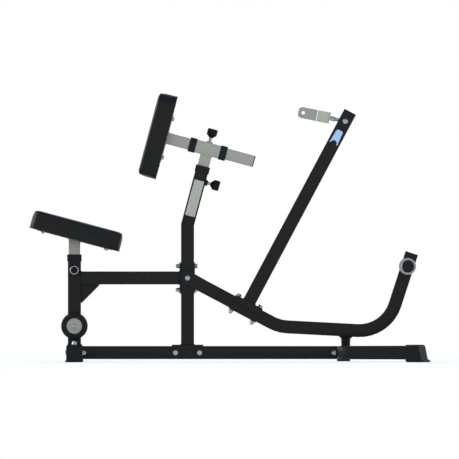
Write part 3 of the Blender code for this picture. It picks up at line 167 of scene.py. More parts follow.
# Knobs of the pull pins: rows of radius, flute depth and height, and a ring of radius and height
KNOB_LENGTH = 0.035
KNOB_FLUTES = 8
KNOB_SHAPE = (
    (0.008, 0.0, 0.0), (0.0084, 0.0, 0.002), (0.0113, 0.0, 0.0026), (0.0116, 0.0002, 0.0046),
    (0.015, 0.0006, 0.0072), (0.0184, 0.0011, 0.0098), (0.0196, 0.0014, 0.0116),
    (0.0199, 0.0015, 0.014), (0.0199, 0.0015, 0.0296), (0.0196, 0.0013, 0.0322),
    (0.0188, 0.0008, 0.034), (0.0176, 0.0, 0.0348), (0.015, 0.0, 0.0349),
    (0.014, 0.0, 0.0343), (0.008, 0.0, 0.0337), (0.0006, 0.0, 0.0335),
)
KNOB_RIM = (
    (0.0141, 0.0341), (0.0161, 0.0341), (0.0161, 0.0352), (0.0157, 0.0356), (0.0145, 0.0356),
    (0.0141, 0.0352),
)

# Weld beads
BEAD = 0.0021
LINE_BEAD = 0.0019
RING_BEAD = 0.0016
BEAD_SIDES = 8
BEAD_STEP = 0.0011
RING_SIDES = 64
RING_ROOM = 0.0004
RING_LIFT = 0.0006
LOOP_ROOM = 0.001
LOOP_LIFT = 0.0008
POST_WELD_SHIFT = 0.0009
POST_WELD_DROP = 0.0016
RIPPLE = 0.13
RIPPLE_PITCH = 0.0034
TUBE_CORNER = 0.004
INNER_CORNER = 0.003
WELD_END = 0.004

# The bare nameplate and label
NAMEPLATE_SIZE = (0.039, 0.143, 0.004)
NAMEPLATE_BEVEL = (0.0384, 0.1424, 0.0037)
NAMEPLATE_RISE = 0.1066
LABEL_RISE = 0.7268
LABEL_HEIGHT = 0.05
LABEL_TOP_HALF = 0.0056
LABEL_CORNER = 0.0082
LABEL_FOOT_HALF = 0.0166
LABEL_ARCH = (0.0128, 0.0146)
LABEL_STEPS = 8
ARCH_STEPS = 12

# The photograph's frame and the camera that matches it
PHOTO_WIDTH = 1.78551
CAMERA_X = -0.00118
CAMERA_Z = 0.5148
CAMERA_DISTANCE = 80.0
SENSOR = 36.0
CAMERA_CLIP = 300.0

# Bends in degrees: shallower ones are shaded smooth, on CAD nodes and on pieces
SHALLOW_BEND = 32.0
SHARP_EDGE = 38.0
SOFT_EDGE = 50.0
WELD_EDGE = 60.0

# Points of a CAD node nearer than this are one for its shading
SAME_SPOT = 0.000005

# Facets round turned parts, and round larger ones
ROUND = 48
FINE_ROUND = 96

# Finishes: how much finer their roughness drifts than their colour, and sockets of a colour mix
FINE_DRIFT = 4.3
MIX_LOW = 6
MIX_HIGH = 7
MIX_RESULT = 2

# The studio: floor, backdrop and fill light, with colours at two heights of the sky
FLOOR_RADIUS = 5.0
FLOOR_DEPTH = 0.004
FLOOR_SHADE = (0.62, 0.62, 0.62, 1.0)
FLOOR_ROUGH = 0.9
FLOOR_GLOSS = 0.1
FLOOR_LIFT = 0.56
WHITE = (1.0, 1.0, 1.0, 1.0)
BACKDROP = ((0.22, WHITE), (0.75, (0.24, 0.42, 0.8, 1.0)))
FILL = ((0.0, (1.0, 0.97, 0.93, 1.0)), (0.8, (0.62, 0.82, 1.1, 1.0)))
FILL_BACK = 0.32
FILL_FRONT = 0.6

# Lamps: name, strength, azimuth, elevation and spread in degrees, colour, and whether gloss shows it
LAMPS = (
    ("front", 2.0, 0.0, 3.0, 34.0, (1.0, 1.0, 1.0), False),
    ("left", 1.5, -110.0, 15.0, 40.0, (1.0, 1.0, 1.0), True),
    ("right", 0.2, 60.0, 35.0, 50.0, (1.0, 0.98, 0.95), False),
    ("back", 1.1, 180.0, 25.0, 60.0, (0.97, 0.985, 1.0), False),
)


def linear(value):
    """One channel of a screen colour from 0 to 255, as light."""
    share = value / 255
    if share <= 0.04045:
        return share / 12.92
    return ((share + 0.055) / 1.055) ** 2.4


def shade(colour, factor):
    """A colour of three channels from 0 to 255, as light, made lighter or darker."""
    return tuple(min(linear(value) * factor, 1.0) for value in colour) + (1.0,)


def tilt(place, degrees):
    """A frame at a place, turned about +Y so that its X axis dips."""
    return Matrix.Translation(place) @ Matrix.Rotation(radians(degrees), 4, "Y")


def facing(place, direction):
    """A frame at a place whose Z axis runs along a direction."""
    turn = Vector(direction).normalized().to_track_quat("Z", "Y").to_matrix().to_4x4()
    return Matrix.Translation(place) @ turn


def moved(matrix, x, y, z):
    """A frame moved along its own axes."""
    return matrix @ Matrix.Translation((x, y, z))


HERE = Matrix.Identity(4)
UPPER = tilt((UPRIGHT_X, 0, BEND_Z), LEAN)
SLIDE = moved(UPPER, 0, 0, SLEEVE_RISE)
LEVER = tilt((UPRIGHT_X, 0, PIVOT_Z), ARM_SLOPE)
CARRIER = LEVER @ tilt((POST_PLACE, 0, PIN_HEIGHT), CARRIER_TURN)
SEAT_FRAME = tilt((SEAT_X, 0, SEAT_PAD_Z), SEAT_TILT)
CHEST_FRAME = SLIDE @ tilt((-CHEST_PAD_BACK, 0, 0), -90)
TO_NEAR_SIDE = Matrix.Rotation(radians(90), 4, "X")


def axis_of(matrix, name):
    """One axis of a frame, in the world."""
    index = "xyz".index(name)
    return Vector((matrix[0][index], matrix[1][index], matrix[2][index]))


def node(tree, kind, **values):
    """A shader node with some of its sockets set."""
    made = tree.nodes.new(kind)
    for name, value in values.items():
        if name in made.inputs.keys():
            made.inputs[name].default_value = value
        else:
            setattr(made, name, value)
    return made


def noise(tree, place, scale, detail):
    """The height of a noise."""
    made = node(tree, "ShaderNodeTexNoise", Scale=scale, Detail=detail)
    tree.links.new(place, made.inputs["Vector"])
    return made.outputs["Fac"]


def drifting_colour(tree, place, colour, drift, scale):
    """A colour that drifts a little darker and lighter over a surface."""
    mix = node(tree, "ShaderNodeMix", data_type="RGBA")
    mix.inputs[MIX_LOW].default_value = shade(colour, 1.0 - drift)
    mix.inputs[MIX_HIGH].default_value = shade(colour, 1.0 + drift)
    tree.links.new(noise(tree, place, scale, 5.0), mix.inputs["Factor"])
    return mix.outputs[MIX_RESULT]


def drifting_rough(tree, place, rough, drift, scale):
    """A roughness that drifts a little over a surface."""
    span = node(tree, "ShaderNodeMapRange", **{"To Min": rough - drift, "To Max": rough + drift})
    tree.links.new(noise(tree, place, scale, 4.0), span.inputs["Value"])
    return span.outputs["Result"]


def grain_height(tree, place, kind, scale):
    """The height of a grain of cells, lines or noise."""
    if kind == "noise":
        return noise(tree, place, scale, 3.0)
    if kind == "cells":
        texture = node(tree, "ShaderNodeTexVoronoi", feature="DISTANCE_TO_EDGE", Scale=scale)
        height = texture.outputs["Distance"]
    else:
        texture = node(tree, "ShaderNodeTexWave", Scale=scale, Distortion=1.5)
        height = texture.outputs["Fac"]
    tree.links.new(place, texture.inputs["Vector"])
    return height


def grained_normal(tree, place, grain, kinds, edge):
    """The normal of a surface with softened edges and layers of grain."""
    normal = None
    if edge > 0.0:
        normal = node(tree, "ShaderNodeBevel", samples=4, Radius=edge).outputs["Normal"]
    for kind, (scale, strength, depth) in zip(kinds, grain):
        height = grain_height(tree, place, kind, scale)
        bump = node(tree, "ShaderNodeBump", Strength=strength, Distance=depth)
        tree.links.new(height, bump.inputs["Height"])
        if normal is not None:
            tree.links.new(normal, bump.inputs["Normal"])
        normal = bump.outputs["Normal"]
    return normal


def finish(name, colour, rough, drift, grain, kinds=("noise", "noise"), metal=0.0, gloss=0.5,
           rough_drift=0.05, stretch=(1.0, 1.0, 1.0), edge=0.0):
    """A Principled material whose colour and roughness drift.

    Its drift is an amount and a scale, and its grain is rows of scale, strength and depth.
    """
    made = bpy.data.materials.new(name)
    made.use_nodes = True
    tree = made.node_tree
    shader = tree.nodes["Principled BSDF"]
    shader.inputs["Metallic"].default_value = metal
    shader.inputs["Specular IOR Level"].default_value = gloss
    spot = node(tree, "ShaderNodeTexCoord")
    room = node(tree, "ShaderNodeMapping", Scale=stretch)
    tree.links.new(spot.outputs["Object"], room.inputs["Vector"])
    place = room.outputs["Vector"]
    amount, scale = drift
    tint = drifting_colour(tree, place, colour, amount, scale)
    tree.links.new(tint, shader.inputs["Base Color"])
    dull = drifting_rough(tree, place, rough, rough_drift, scale * FINE_DRIFT)
    tree.links.new(dull, shader.inputs["Roughness"])
    tree.links.new(grained_normal(tree, place, grain, kinds, edge), shader.inputs["Normal"])
    return made


FINISHES = {
    "frame_paint": finish(
        "frame_paint", (20, 21, 21), 0.42, gloss=0.16, drift=(0.05, 18.0),
        grain=((420.0, 0.05, 0.0006), (1500.0, 0.03, 0.0003)), edge=0.0009,
    ),
    "grey_paint": finish(
        "grey_paint", (147, 149, 141), 0.42, gloss=0.25, drift=(0.04, 18.0),
        grain=((420.0, 0.04, 0.0006), (1500.0, 0.03, 0.0003)), edge=0.0026,
    ),
    "plastic": finish(
        "moulded_plastic", (19, 21, 24), 0.46, gloss=0.15, drift=(0.05, 40.0),
        grain=((1100.0, 0.16, 0.0004),), edge=0.0008,
    ),
    "rubber": finish(
        "moulded_rubber", (22, 22, 23), 0.65, gloss=0.16, drift=(0.08, 60.0),
        grain=((700.0, 0.2, 0.0006),), edge=0.0008,
    ),
    "tyre": finish(
        "tyre_rubber", (20, 21, 24), 0.55, gloss=0.18, drift=(0.08, 60.0),
        grain=((700.0, 0.18, 0.0006),),
    ),
    "grey_plastic": finish(
        "hub_plastic", (150, 153, 145), 0.45, gloss=0.25, drift=(0.035, 45.0),
        grain=((900.0, 0.08, 0.0004),),
    ),
    "grey_block": finish(
        "block_paint", (163, 164, 150), 0.5, gloss=0.25, drift=(0.018, 40.0),
        grain=((800.0, 0.1, 0.0004),), edge=0.0006,
    ),
    "steel": finish(
        "zinc_steel", (166, 168, 166), 0.27, metal=1.0, drift=(0.07, 120.0),
        grain=((1600.0, 0.1, 0.0002),), rough_drift=0.07,
    ),
    "chrome": finish(
        "chrome_plate", (140, 142, 142), 0.13, metal=1.0, drift=(0.02, 40.0),
        grain=((90.0, 0.03, 0.0006),), rough_drift=0.03,
    ),
    "board": finish(
        "plywood", (150, 122, 88), 0.72, gloss=0.25, drift=(0.22, 14.0),
        grain=((60.0, 0.3, 0.0006), (5.0, 0.08, 0.0004)), kinds=("noise", "lines"),
        stretch=(1.0, 7.0, 7.0),
    ),
    "vinyl": finish(
        "grained_vinyl", (21, 22, 22), 0.42, gloss=0.14, drift=(0.06, 12.0),
        grain=((620.0, 0.22, 0.0005), (260.0, 0.12, 0.0006)), kinds=("cells", "noise"),
    ),
}
# A plain white for the plate between the swivel block and the clevis, which shows as a bright line
# there
PLAIN_WHITE = finish(
    "plain_white", (250, 250, 247), 0.4, gloss=0.3, drift=(0.02, 60.0),
    grain=((400.0, 0.04, 0.0003),),
)
CLEVIS_STEEL = finish(
    "clevis_steel", (139, 142, 136), 0.45, gloss=0.3, drift=(0.018, 40.0),
    grain=((1200.0, 0.08, 0.0003),), edge=0.0006,
)
NAMEPLATE = finish(
    "brushed_plate", (164, 166, 157), 0.42, gloss=0.3, drift=(0.05, 60.0),
    grain=((500.0, 0.1, 0.0002),), stretch=(6.0, 6.0, 0.6), edge=0.0004,
)
LABEL = finish(
    "pale_label", (160, 184, 220), 0.35, gloss=0.3, drift=(0.03, 25.0),
    grain=((700.0, 0.04, 0.0002),),
)
KNOB_RING = finish(
    "bright_ring", (205, 211, 218), 0.24, metal=1.0, drift=(0.04, 90.0),
    grain=((1600.0, 0.05, 0.0002),), rough_drift=0.04,
)
KNOB = finish(
    "knob_plastic", (11, 12, 15), 0.36, gloss=0.12, drift=(0.05, 60.0),
    grain=((1200.0, 0.06, 0.0003),),
)


def around(sides, reach):
    """Points round a middle, each as far out as the reach at its turn."""
    turns = [tau * step / sides for step in range(sides)]
    return [(reach(turn) * cos(turn), reach(turn) * sin(turn)) for turn in turns]


def circle(radius, sides=ROUND):
    """Points round a circle."""
    return around(sides, lambda turn: radius)


def hexagon(radius):
    """Points round a hexagon, as many as round a circle."""
    flat = radius * cos(pi / 6)
    return around(ROUND, lambda turn: flat / cos(turn % (pi / 3) - pi / 6))


def flute(turn):
    """How deep a knob's flutes are at a turn, from 0 to 1."""
    return (0.5 - 0.5 * cos(KNOB_FLUTES * turn)) ** 3


def fluted(radius, depth):
    """Points round a knob with shallow flutes."""
    return around(FINE_ROUND, lambda turn: radius - depth * flute(turn))


def rounded(width, height, radius, steps=4):
    """A rectangle with round corners, centred on its middle."""
    corners = ((1, 1, 0), (-1, 1, 90), (-1, -1, 180), (1, -1, 270))
    points = []
    for side, top, start in corners:
        centre_x = side * (width / 2 - radius)
        centre_y = top * (height / 2 - radius)
        for step in range(steps + 1):
            turn = radians(start + 90 * step / steps)
            points.append((centre_x + radius * cos(turn), centre_y + radius * sin(turn)))
    return points


def loft(shape, rings, matrix, closed=False):
    """Adds a solid through rings of points, with flat ends, or closed on itself."""
    loops = [[shape.verts.new(matrix @ Vector(spot)) for spot in ring] for ring in rings]
    pairs = list(zip(loops, loops[1:]))
    if closed:
        pairs.append((loops[-1], loops[0]))
    for low, high in pairs:
        for index in range(len(low)):
            after = (index + 1) % len(low)
            shape.faces.new((low[index], low[after], high[after], high[index]))
    if not closed:
        shape.faces.new(list(reversed(loops[0])))
        shape.faces.new(loops[-1])
    return shape


def stack(shape, steps, matrix, closed=False):
    """Adds a solid through outlines at heights along a frame's Z axis."""
    rings = [[(u, v, height) for u, v in outline] for outline, height in steps]
    return loft(shape, rings, matrix, closed)


def turned(shape, profile, matrix, closed=False, sides=ROUND):
    """Adds a turned solid from pairs of radius and height."""
    steps = [(circle(radius, sides), height) for radius, height in profile]
    return stack(shape, steps, matrix, closed)


def raised(shape, matrix, face, up, steps):
    """Adds a solid through outlines at heights above a face, or below it where up is -1."""
    stack(shape, [(outline, face + up * rise) for outline, rise in steps], matrix)


def placed(name, data):
    """Makes an object of some data and puts it in the scene."""
    made = bpy.data.objects.new(name, data)
    bpy.context.scene.collection.objects.link(made)
    return made


def object_of(name, shape):
    """Makes an object of a shape and puts it in the scene."""
    bmesh.ops.recalc_face_normals(shape, faces=shape.faces)
    mesh = bpy.data.meshes.new(name)
    shape.to_mesh(mesh)
    shape.free()
    return placed(name, mesh)


def piece(name, shape, body, slot=None, stands_for=(), material=None, sharp=SHARP_EDGE):
    """Makes an object of a shape on a CAD body, in its slot's finish or in one of its own."""
    made = object_of(name, shape)
    made.data.materials.append(material or FINISHES[slot])
    made.data.shade_smooth()
    made.data.set_sharp_from_angle(angle=radians(sharp))
    settle(made, body, stands_for)


def settle(made, body, stands_for):
    """Rides a piece on its body and hides the CAD nodes it stands for."""
    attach(made, body)
    if stands_for:
        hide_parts(*stands_for)


def stand_on(name, direction):
    """A frame at the low end of a CAD node, its Z along a direction, and the node's length."""
    turn = facing((0, 0, 0), direction)
    back = turn.inverted()
    spots = [back @ vert.co for vert in frame["nodes"][name].data.vertices]
    low = Vector([min(spot[index] for spot in spots) for index in range(3)])
    high = Vector([max(spot[index] for spot in spots) for index in range(3)])
    middle = (low + high) / 2
    return moved(turn, middle.x, middle.y, low.z), high.z - low.z


def washer(shape, matrix, low, high, bore, radius):
    """Adds a flat washer with softened edges."""
    soft = 0.0003
    profile = [
        (bore, low), (radius - soft, low), (radius, low + soft), (radius, high - soft),
        (radius - soft, high), (bore, high),
    ]
    turned(shape, profile, matrix, True)


def button_head(shape, matrix, face, up):
    """Adds a round head with a hexagon socket, its flat side on a face."""
    radius = BUTTON_RADIUS
    height = BUTTON_HEIGHT
    steps = [
        (circle(radius), 0.0),
        (circle(radius), height * 0.16),
        (circle(radius * 0.98), height * 0.3),
        (circle(radius * 0.9), height * 0.58),
        (circle(radius * 0.76), height * 0.82),
        (circle(radius * 0.58), height * 0.97),
        (circle(radius * 0.48), height),
        (hexagon(radius * 0.36), height),
        (hexagon(radius * 0.34), height * 0.45),
    ]
    raised(shape, matrix, face, up, steps)


def hex_head(shape, matrix, face, up, radius=HEX_RADIUS, height=HEX_HEIGHT):
    """Adds a hexagon head with a chamfered top, on a face."""
    steps = [
        (circle(radius * 0.93), 0.0),
        (hexagon(radius), height * 0.06),
        (hexagon(radius), height * 0.84),
        (circle(radius * 0.86), height),
        (circle(radius * 0.6), height),
        (circle(radius * 0.55), height - 0.0004),
    ]
    raised(shape, matrix, face, up, steps)


def dome_nut(shape, matrix, face, up, radius, dome):
    """Adds a dome nut, its flat side on a face."""
    steps = [
        (circle(radius * 0.93), 0.0),
        (hexagon(radius), 0.0006),
        (hexagon(radius), 0.006),
        (circle(radius * 0.87), 0.007),
        (circle(dome), 0.0071),
        (circle(dome), 0.009),
        (circle(dome * 0.94), 0.0108),
        (circle(dome * 0.78), 0.0124),
        (circle(dome * 0.5), 0.0136),
        (circle(dome * 0.2), 0.014),
    ]
    raised(shape, matrix, face, up, steps)


def remake_bolt(name, direction, body, button=False, shank=BOLT_SHANK):
    """A bolt in the place of a CAD bolt, its head toward the direction."""
    matrix, length = stand_on(name, direction)
    wide = shank / BOLT_SHANK
    bore = shank + BORE_PLAY
    nut_face = NUT_LENGTH - WASHER
    head_face = length - (BUTTON_HEIGHT if button else HEX_HEIGHT + WASHER)
    shape = bmesh.new()
    washer(shape, matrix, nut_face, NUT_LENGTH, bore, WASHER_RADIUS * wide)
    dome_nut(shape, matrix, nut_face, -1.0, HEX_RADIUS * wide, DOME_RADIUS * wide)
    turned(shape, [(shank, nut_face - SHANK_LAP), (shank, head_face + SHANK_LAP)], matrix)
    if button:
        button_head(shape, matrix, head_face, 1.0)
    else:
        washer(shape, matrix, head_face, head_face + WASHER, bore, WASHER_RADIUS)
        hex_head(shape, matrix, head_face + WASHER, 1.0)
    piece(name + "_detail", shape, body, "steel", (name,))


def make_bolts():
    """Every bolt of the frame and of the lever, with sockets, washers and dome nuts."""
    for side in ("near", "far"):
        remake_bolt("front_bolt_" + side, (-1, 0, 0), "frame")
        remake_bolt("rear_bolt_" + side, (1, 0, 0), "frame")
        remake_bolt("foot_bolt_" + side, (0, 0, -1), "frame", button=True)
    for side in ("left", "right"):
        remake_bolt("saddle_bolt_" + side, (0, -1, 0), "frame", button=True)
    for side in ("lower", "upper"):
        remake_bolt("seat_beam_bolt_" + side, (1, 0, 0), "frame")
        remake_bolt("clamp_bolt_" + side, axis_of(LEVER, "z"), "lever")
    remake_bolt("handle_pin", (0, -1, 0), "lever", button=True, shank=PIN_SHANK)

    matrix, length = stand_on("pivot_bolt", (0, -1, 0))
    shape = bmesh.new()
    button_head(shape, matrix, BUTTON_HEIGHT, -1.0)
    button_head(shape, matrix, length - BUTTON_HEIGHT, 1.0)
    inside = BUTTON_HEIGHT - SHANK_LAP
    turned(shape, [(PIVOT_SHANK, inside), (PIVOT_SHANK, length - inside)], matrix)
    piece("pivot_bolt_detail", shape, "lever", "steel", ("pivot_bolt",))


def tread_profile(width):
    """A tyre's outline in pairs of radius and height, with grooves round its tread."""
    profile = [(0.0303, 0.0), (0.0309, -0.0002)]
    profile += [(WHEEL_RADIUS - drop, rise) for drop, rise in TYRE_SHOULDER]
    floor = WHEEL_RADIUS - GROOVE_DEPTH
    for groove in TYRE_GROOVES:
        profile += [(WHEEL_RADIUS, groove - GROOVE_HALF), (floor, groove - GROOVE_FLOOR_HALF)]
        profile += [(floor, groove + GROOVE_FLOOR_HALF), (WHEEL_RADIUS, groove + GROOVE_HALF)]
    profile += [(WHEEL_RADIUS - drop, width - rise) for drop, rise in reversed(TYRE_SHOULDER)]
    profile += [(0.036, width + 0.0001), (0.0352, width - 0.0006)]
    profile += [(0.0309, width - 0.0006), (0.0303, width)]
    return profile


def hub_profile(width):
    """A dished hub's outline in pairs of radius and height."""
    return [
        (0.0063, 0.0), (0.0296, 0.0), (0.03, 0.0004), (0.03, width - 0.0006),
        (0.0294, width), (0.0276, width), (0.0268, width - 0.001), (0.015, width - 0.0012),
        (0.0136, width - 0.0002), (0.0063, width),
    ]


def make_axle():
    """The wheels' axle with its two domed heads."""
    matrix, length = stand_on("wheel_axle", (0, -1, 0))
    inside = AXLE_HEAD - 0.002
    shape = turned(bmesh.new(), [(AXLE, inside), (AXLE, length - inside)], matrix)
    steps = (
        (0.009, 0.0), (0.009, 0.0009), (0.0084, 0.001), (0.0076, 0.0011), (0.0074, 0.0026),
        (0.0064, 0.0042), (0.0046, 0.0053), (0.002, 0.0059), (0.0005, 0.006),
    )
    for face, up in ((AXLE_HEAD, -1.0), (length - AXLE_HEAD, 1.0)):
        turned(shape, [(radius, face + up * rise) for radius, rise in steps], matrix)
    piece("wheel_axle_detail", shape, "frame", "steel", ("wheel_axle",))


def make_wheels():
    """The transport wheels with a grooved tread and dished hubs, and their axle."""
    for out, side in ((-1.0, "near"), (1.0, "far")):
        body = "wheel_" + side
        matrix, width = stand_on("wheel_tyre_" + side, (0, out, 0))
        shape = turned(bmesh.new(), tread_profile(width), matrix, True, FINE_ROUND)
        piece(body + "_tread", shape, body, "tyre", ("wheel_tyre_" + side,))
        shape = turned(bmesh.new(), hub_profile(width), matrix, True, FINE_ROUND)
        piece(body + "_disc", shape, body, "grey_plastic", ("wheel_hub_" + side,))
    make_axle()


def sleeve_profile(length):
    """A weight sleeve's outline with its collar, in pairs of radius and height."""
    return [
        (0.0215, 0.0), (0.0326, 0.0), (0.0332, 0.0006), (0.0332, 0.0105), (0.0326, 0.0117),
        (0.0312, 0.012), (0.0252, 0.012), (0.0245, 0.0126), (0.0245, length - 0.001),
        (0.0239, length), (0.0215, length),
    ]


def sleeve_cap_profile(rim):
    """A sleeve cap's outline in pairs of radius and height, its plug below the rim."""
    return [
        (0.017, 0.0), (0.0172, rim), (0.0238, rim), (0.024, rim + 0.0004),
        (0.024, rim + 0.003), (0.0232, rim + 0.0044), (0.0214, rim + 0.005),
        (0.019, rim + 0.0049), (0.0184, rim + 0.0042), (0.0008, rim + 0.004),
    ]


def make_sleeves():
    """The chrome weight sleeves and their end caps, turned fine enough to look round."""
    for out, side in ((-1.0, "near"), (1.0, "far")):
        matrix, length = stand_on("weight_sleeve_" + side, (0, out, 0))
        shape = turned(bmesh.new(), sleeve_profile(length), matrix, True, FINE_ROUND)
        piece("sleeve_" + side, shape, "lever", "chrome", ("weight_sleeve_" + side,))
        matrix, length = stand_on("sleeve_cap_" + side, (0, out, 0))
        shape = turned(bmesh.new(), sleeve_cap_profile(length - 0.005), matrix, False, FINE_ROUND)
        piece("sleeve_end_" + side, shape, "lever", "plastic", ("sleeve_cap_" + side,))


def make_bumper():
    """The rubber bumper under the arm, its flange along the arm's slope."""
    low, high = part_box("bumper")
    centre = (low + high) / 2
    slope = tan(radians(BUMPER_SLOPE))
    under = high.z - (high.x - low.x) / 2 * slope
    height = under - low.z
    steps = (
        (0.0168, -GAP, 0.0), (0.0174, 0.001, 0.0), (0.0176, height * 0.16, 0.1),
        (0.0178, height * 0.5, 0.6), (0.0182, height - 0.0085, 1.0),
        (0.0196, height - 0.0055, 1.0), (0.0224, height - 0.0038, 1.0),
        (0.0248, height - 0.003, 1.0), (0.0254, height - 0.0022, 1.0),
        (0.0254, height + GAP, 1.0),
    )
    rings = []
    for radius, rise, share in steps:
        level = low.z + rise
        rings.append([(centre.x + u, v, level - share * u * slope) for u, v in circle(radius)])
    shape = loft(bmesh.new(), rings, HERE)
    piece("bumper_detail", shape, "lever", "rubber", ("bumper",))


def make_stop_ring():
    """The rubber ring round the stabiliser's stop, with a shallow groove."""
    low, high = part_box("stabiliser_stop")
    rim = (high.x - low.x) / 2
    top = high.z - low.z
    profile = [
        (rim + 0.0002, 0.0), (0.0176, 0.0), (0.0176, top * 0.3), (0.017, top * 0.4),
        (0.017, top * 0.6), (0.0176, top * 0.7), (0.0176, top - 0.0002),
        (rim - 0.0005, top - 0.0002), (rim + 0.0002, top - 0.0022),
    ]
    shape = bmesh.new()
    stand = Matrix.Translation(((low.x + high.x) / 2, 0, low.z))
    turned(shape, profile, stand, True)
    piece("stop_ring", shape, "frame", "rubber")


def make_foot():
    """The rubber pad under the stabiliser, with a groove round it."""
    low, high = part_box("stabiliser_pad")
    wide = high.y - low.y
    full = rounded(0.0516, wide, 0.004)
    groove = rounded(0.0508, wide - 0.001, 0.004)
    steps = (
        (rounded(0.05, wide - 0.002, 0.003), 0.0026),
        (full, 0.0032), (full, 0.005), (groove, 0.0054), (groove, 0.006), (full, 0.0064),
        (full, SOLE - GAP),
    )
    shape = stack(bmesh.new(), steps, Matrix.Translation((REAR_X, 0, 0)))
    piece("stabiliser_foot", shape, "frame", "rubber", ("stabiliser_pad",))


def make_pull_pin(name, direction, body):
    """A spring pin: a shaft with a collar, a fluted knob and a bright ring in its face."""
    matrix, length = stand_on(name, direction)
    knob = length - KNOB_LENGTH
    profile = [
        (0.003, 0.0), (0.00475, 0.0012), (0.00475, knob * 0.3), (0.006, knob * 0.31),
        (0.006, knob - 0.0006), (0.0056, knob + 0.001),
    ]
    shape = turned(bmesh.new(), profile, matrix)
    piece(name + "_shaft", shape, body, "steel", (name,))
    steps = [(fluted(radius, dip), knob + rise) for radius, dip, rise in KNOB_SHAPE]
    shape = stack(bmesh.new(), steps, matrix)
    piece(name + "_knob", shape, body, "plastic", material=KNOB, sharp=SOFT_EDGE)
    rim = [(radius, knob + rise) for radius, rise in KNOB_RIM]
    shape = turned(bmesh.new(), rim, matrix, True, FINE_ROUND)
    piece(name + "_rim", shape, body, "steel", material=KNOB_RING)


def bead(shape, path, normal, closed, radius=BEAD):
    """Adds a rippled weld bead along a path."""
    count = len(path)
    rings = []
    travelled = 0.0
    for index, spot in enumerate(path):
        before = path[index - 1] if index > 0 or closed else spot
        after = path[(index + 1) % count] if index < count - 1 or closed else spot
        along = (after - before).normalized()
        across = along.cross(normal).normalized()
        if index > 0:
            travelled += (spot - path[index - 1]).length
        ripple = 1.0 + RIPPLE * sin(travelled * tau / RIPPLE_PITCH)
        section = circle(radius * ripple, BEAD_SIDES)
        rings.append([spot + across * u + normal * v for u, v in section])
    loft(shape, rings, HERE, closed)


def even(points, closed, step=BEAD_STEP):
    """Points at an even spacing along a chain of points."""
    chain = [Vector(spot) for spot in points]
    if closed:
        chain.append(chain[0])
    result = []
    for start, end in zip(chain, chain[1:]):
        count = max(1, round((end - start).length / step))
        for index in range(count):
            result.append(start.lerp(end, index / count))
    if not closed:
        result.append(chain[-1])
    return result


def weld_loop(shape, matrix, width, height, corner):
    """Adds a weld round a tube, in a frame whose Z axis is the tube's."""
    outline = rounded(width + LOOP_ROOM, height + LOOP_ROOM, corner, 3)
    path = even([matrix @ Vector((u, v, LOOP_LIFT)) for u, v in outline], True)
    bead(shape, path, axis_of(matrix, "z"), True)


def weld_ring(shape, matrix):
    """Adds a weld round a pin's boss."""
    ring = circle(BOSS_RADIUS + RING_ROOM, RING_SIDES)
    path = [matrix @ Vector((u, v, RING_LIFT)) for u, v in ring]
    bead(shape, path, axis_of(matrix, "z"), True, RING_BEAD)


def weld_line(shape, start, end, normal, matrix=HERE):
    """Adds a straight weld."""
    path = even([matrix @ Vector(start), matrix @ Vector(end)], False)
    bead(shape, path, (matrix.to_3x3() @ Vector(normal)).normalized(), False, LINE_BEAD)


def frame_welds():
    """The frame's beads, round its tubes and bosses, and along its gusset and beam ends."""
    plate_top = BASE_TOP + GAP + PLATE
    face = SEAT_X + HALF
    flange = UPRIGHT_X - HALF - GAP - PLATE
    under = SEAT_BEAM_Z - HALF
    shape = bmesh.new()
    joints = (
        ((SEAT_X, 0, plate_top), (0, 0, 1)),
        ((face, 0, SEAT_BEAM_Z), (1, 0, 0)),
        ((flange, 0, SEAT_BEAM_Z), (-1, 0, 0)),
        ((UPRIGHT_X, 0, plate_top), (0, 0, 1)),
    )
    for spot, direction in joints:
        weld_loop(shape, facing(spot, direction), TUBE, TUBE, TUBE_CORNER)
    weld_ring(shape, facing((SEAT_X, -HALF, SEAT_PIN_Z), (0, -1, 0)))
    boss = moved(UPPER, HALF, 0, RISER_PIN_RISE)
    weld_ring(shape, facing(boss.translation, axis_of(UPPER, "x")))
    for side in (-1.0, 1.0):
        out = side * GUSSET_HALF
        across = (0, side, 0)
        weld_line(shape, (face + WELD_END, out, under), (face + GUSSET_LEG, out, under), across)
        weld_line(shape, (face, out, under - WELD_END), (face, out, under - GUSSET_LEG), across)
        for end in (SEAT_X + HALF + GAP + PLATE, REAR_X - HALF - GAP - PLATE):
            low = (end, side * HALF, SOLE + WELD_END)
            high = (end, side * HALF, BASE_TOP - WELD_END)
            weld_line(shape, low, high, across)
    piece("frame_welds", shape, "frame", "frame_paint", sharp=WELD_EDGE)


def lever_welds():
    """The lever's beads, round the pull post and along the fork's cheeks."""
    shape = bmesh.new()
    saddle = moved(LEVER, POST_PLACE, 0, HALF + GAP + PLATE)
    weld_loop(shape, saddle, TUBE, TUBE, TUBE_CORNER)
    for side in (-1.0, 1.0):
        out = side * CHEEK_INSIDE
        low = (CHEEK_REACH, out, -HALF + WELD_END)
        high = (CHEEK_REACH, out, HALF - WELD_END)
        weld_line(shape, low, high, (0, side, 0), LEVER)
    piece("lever_welds", shape, "lever", "frame_paint", sharp=WELD_EDGE)


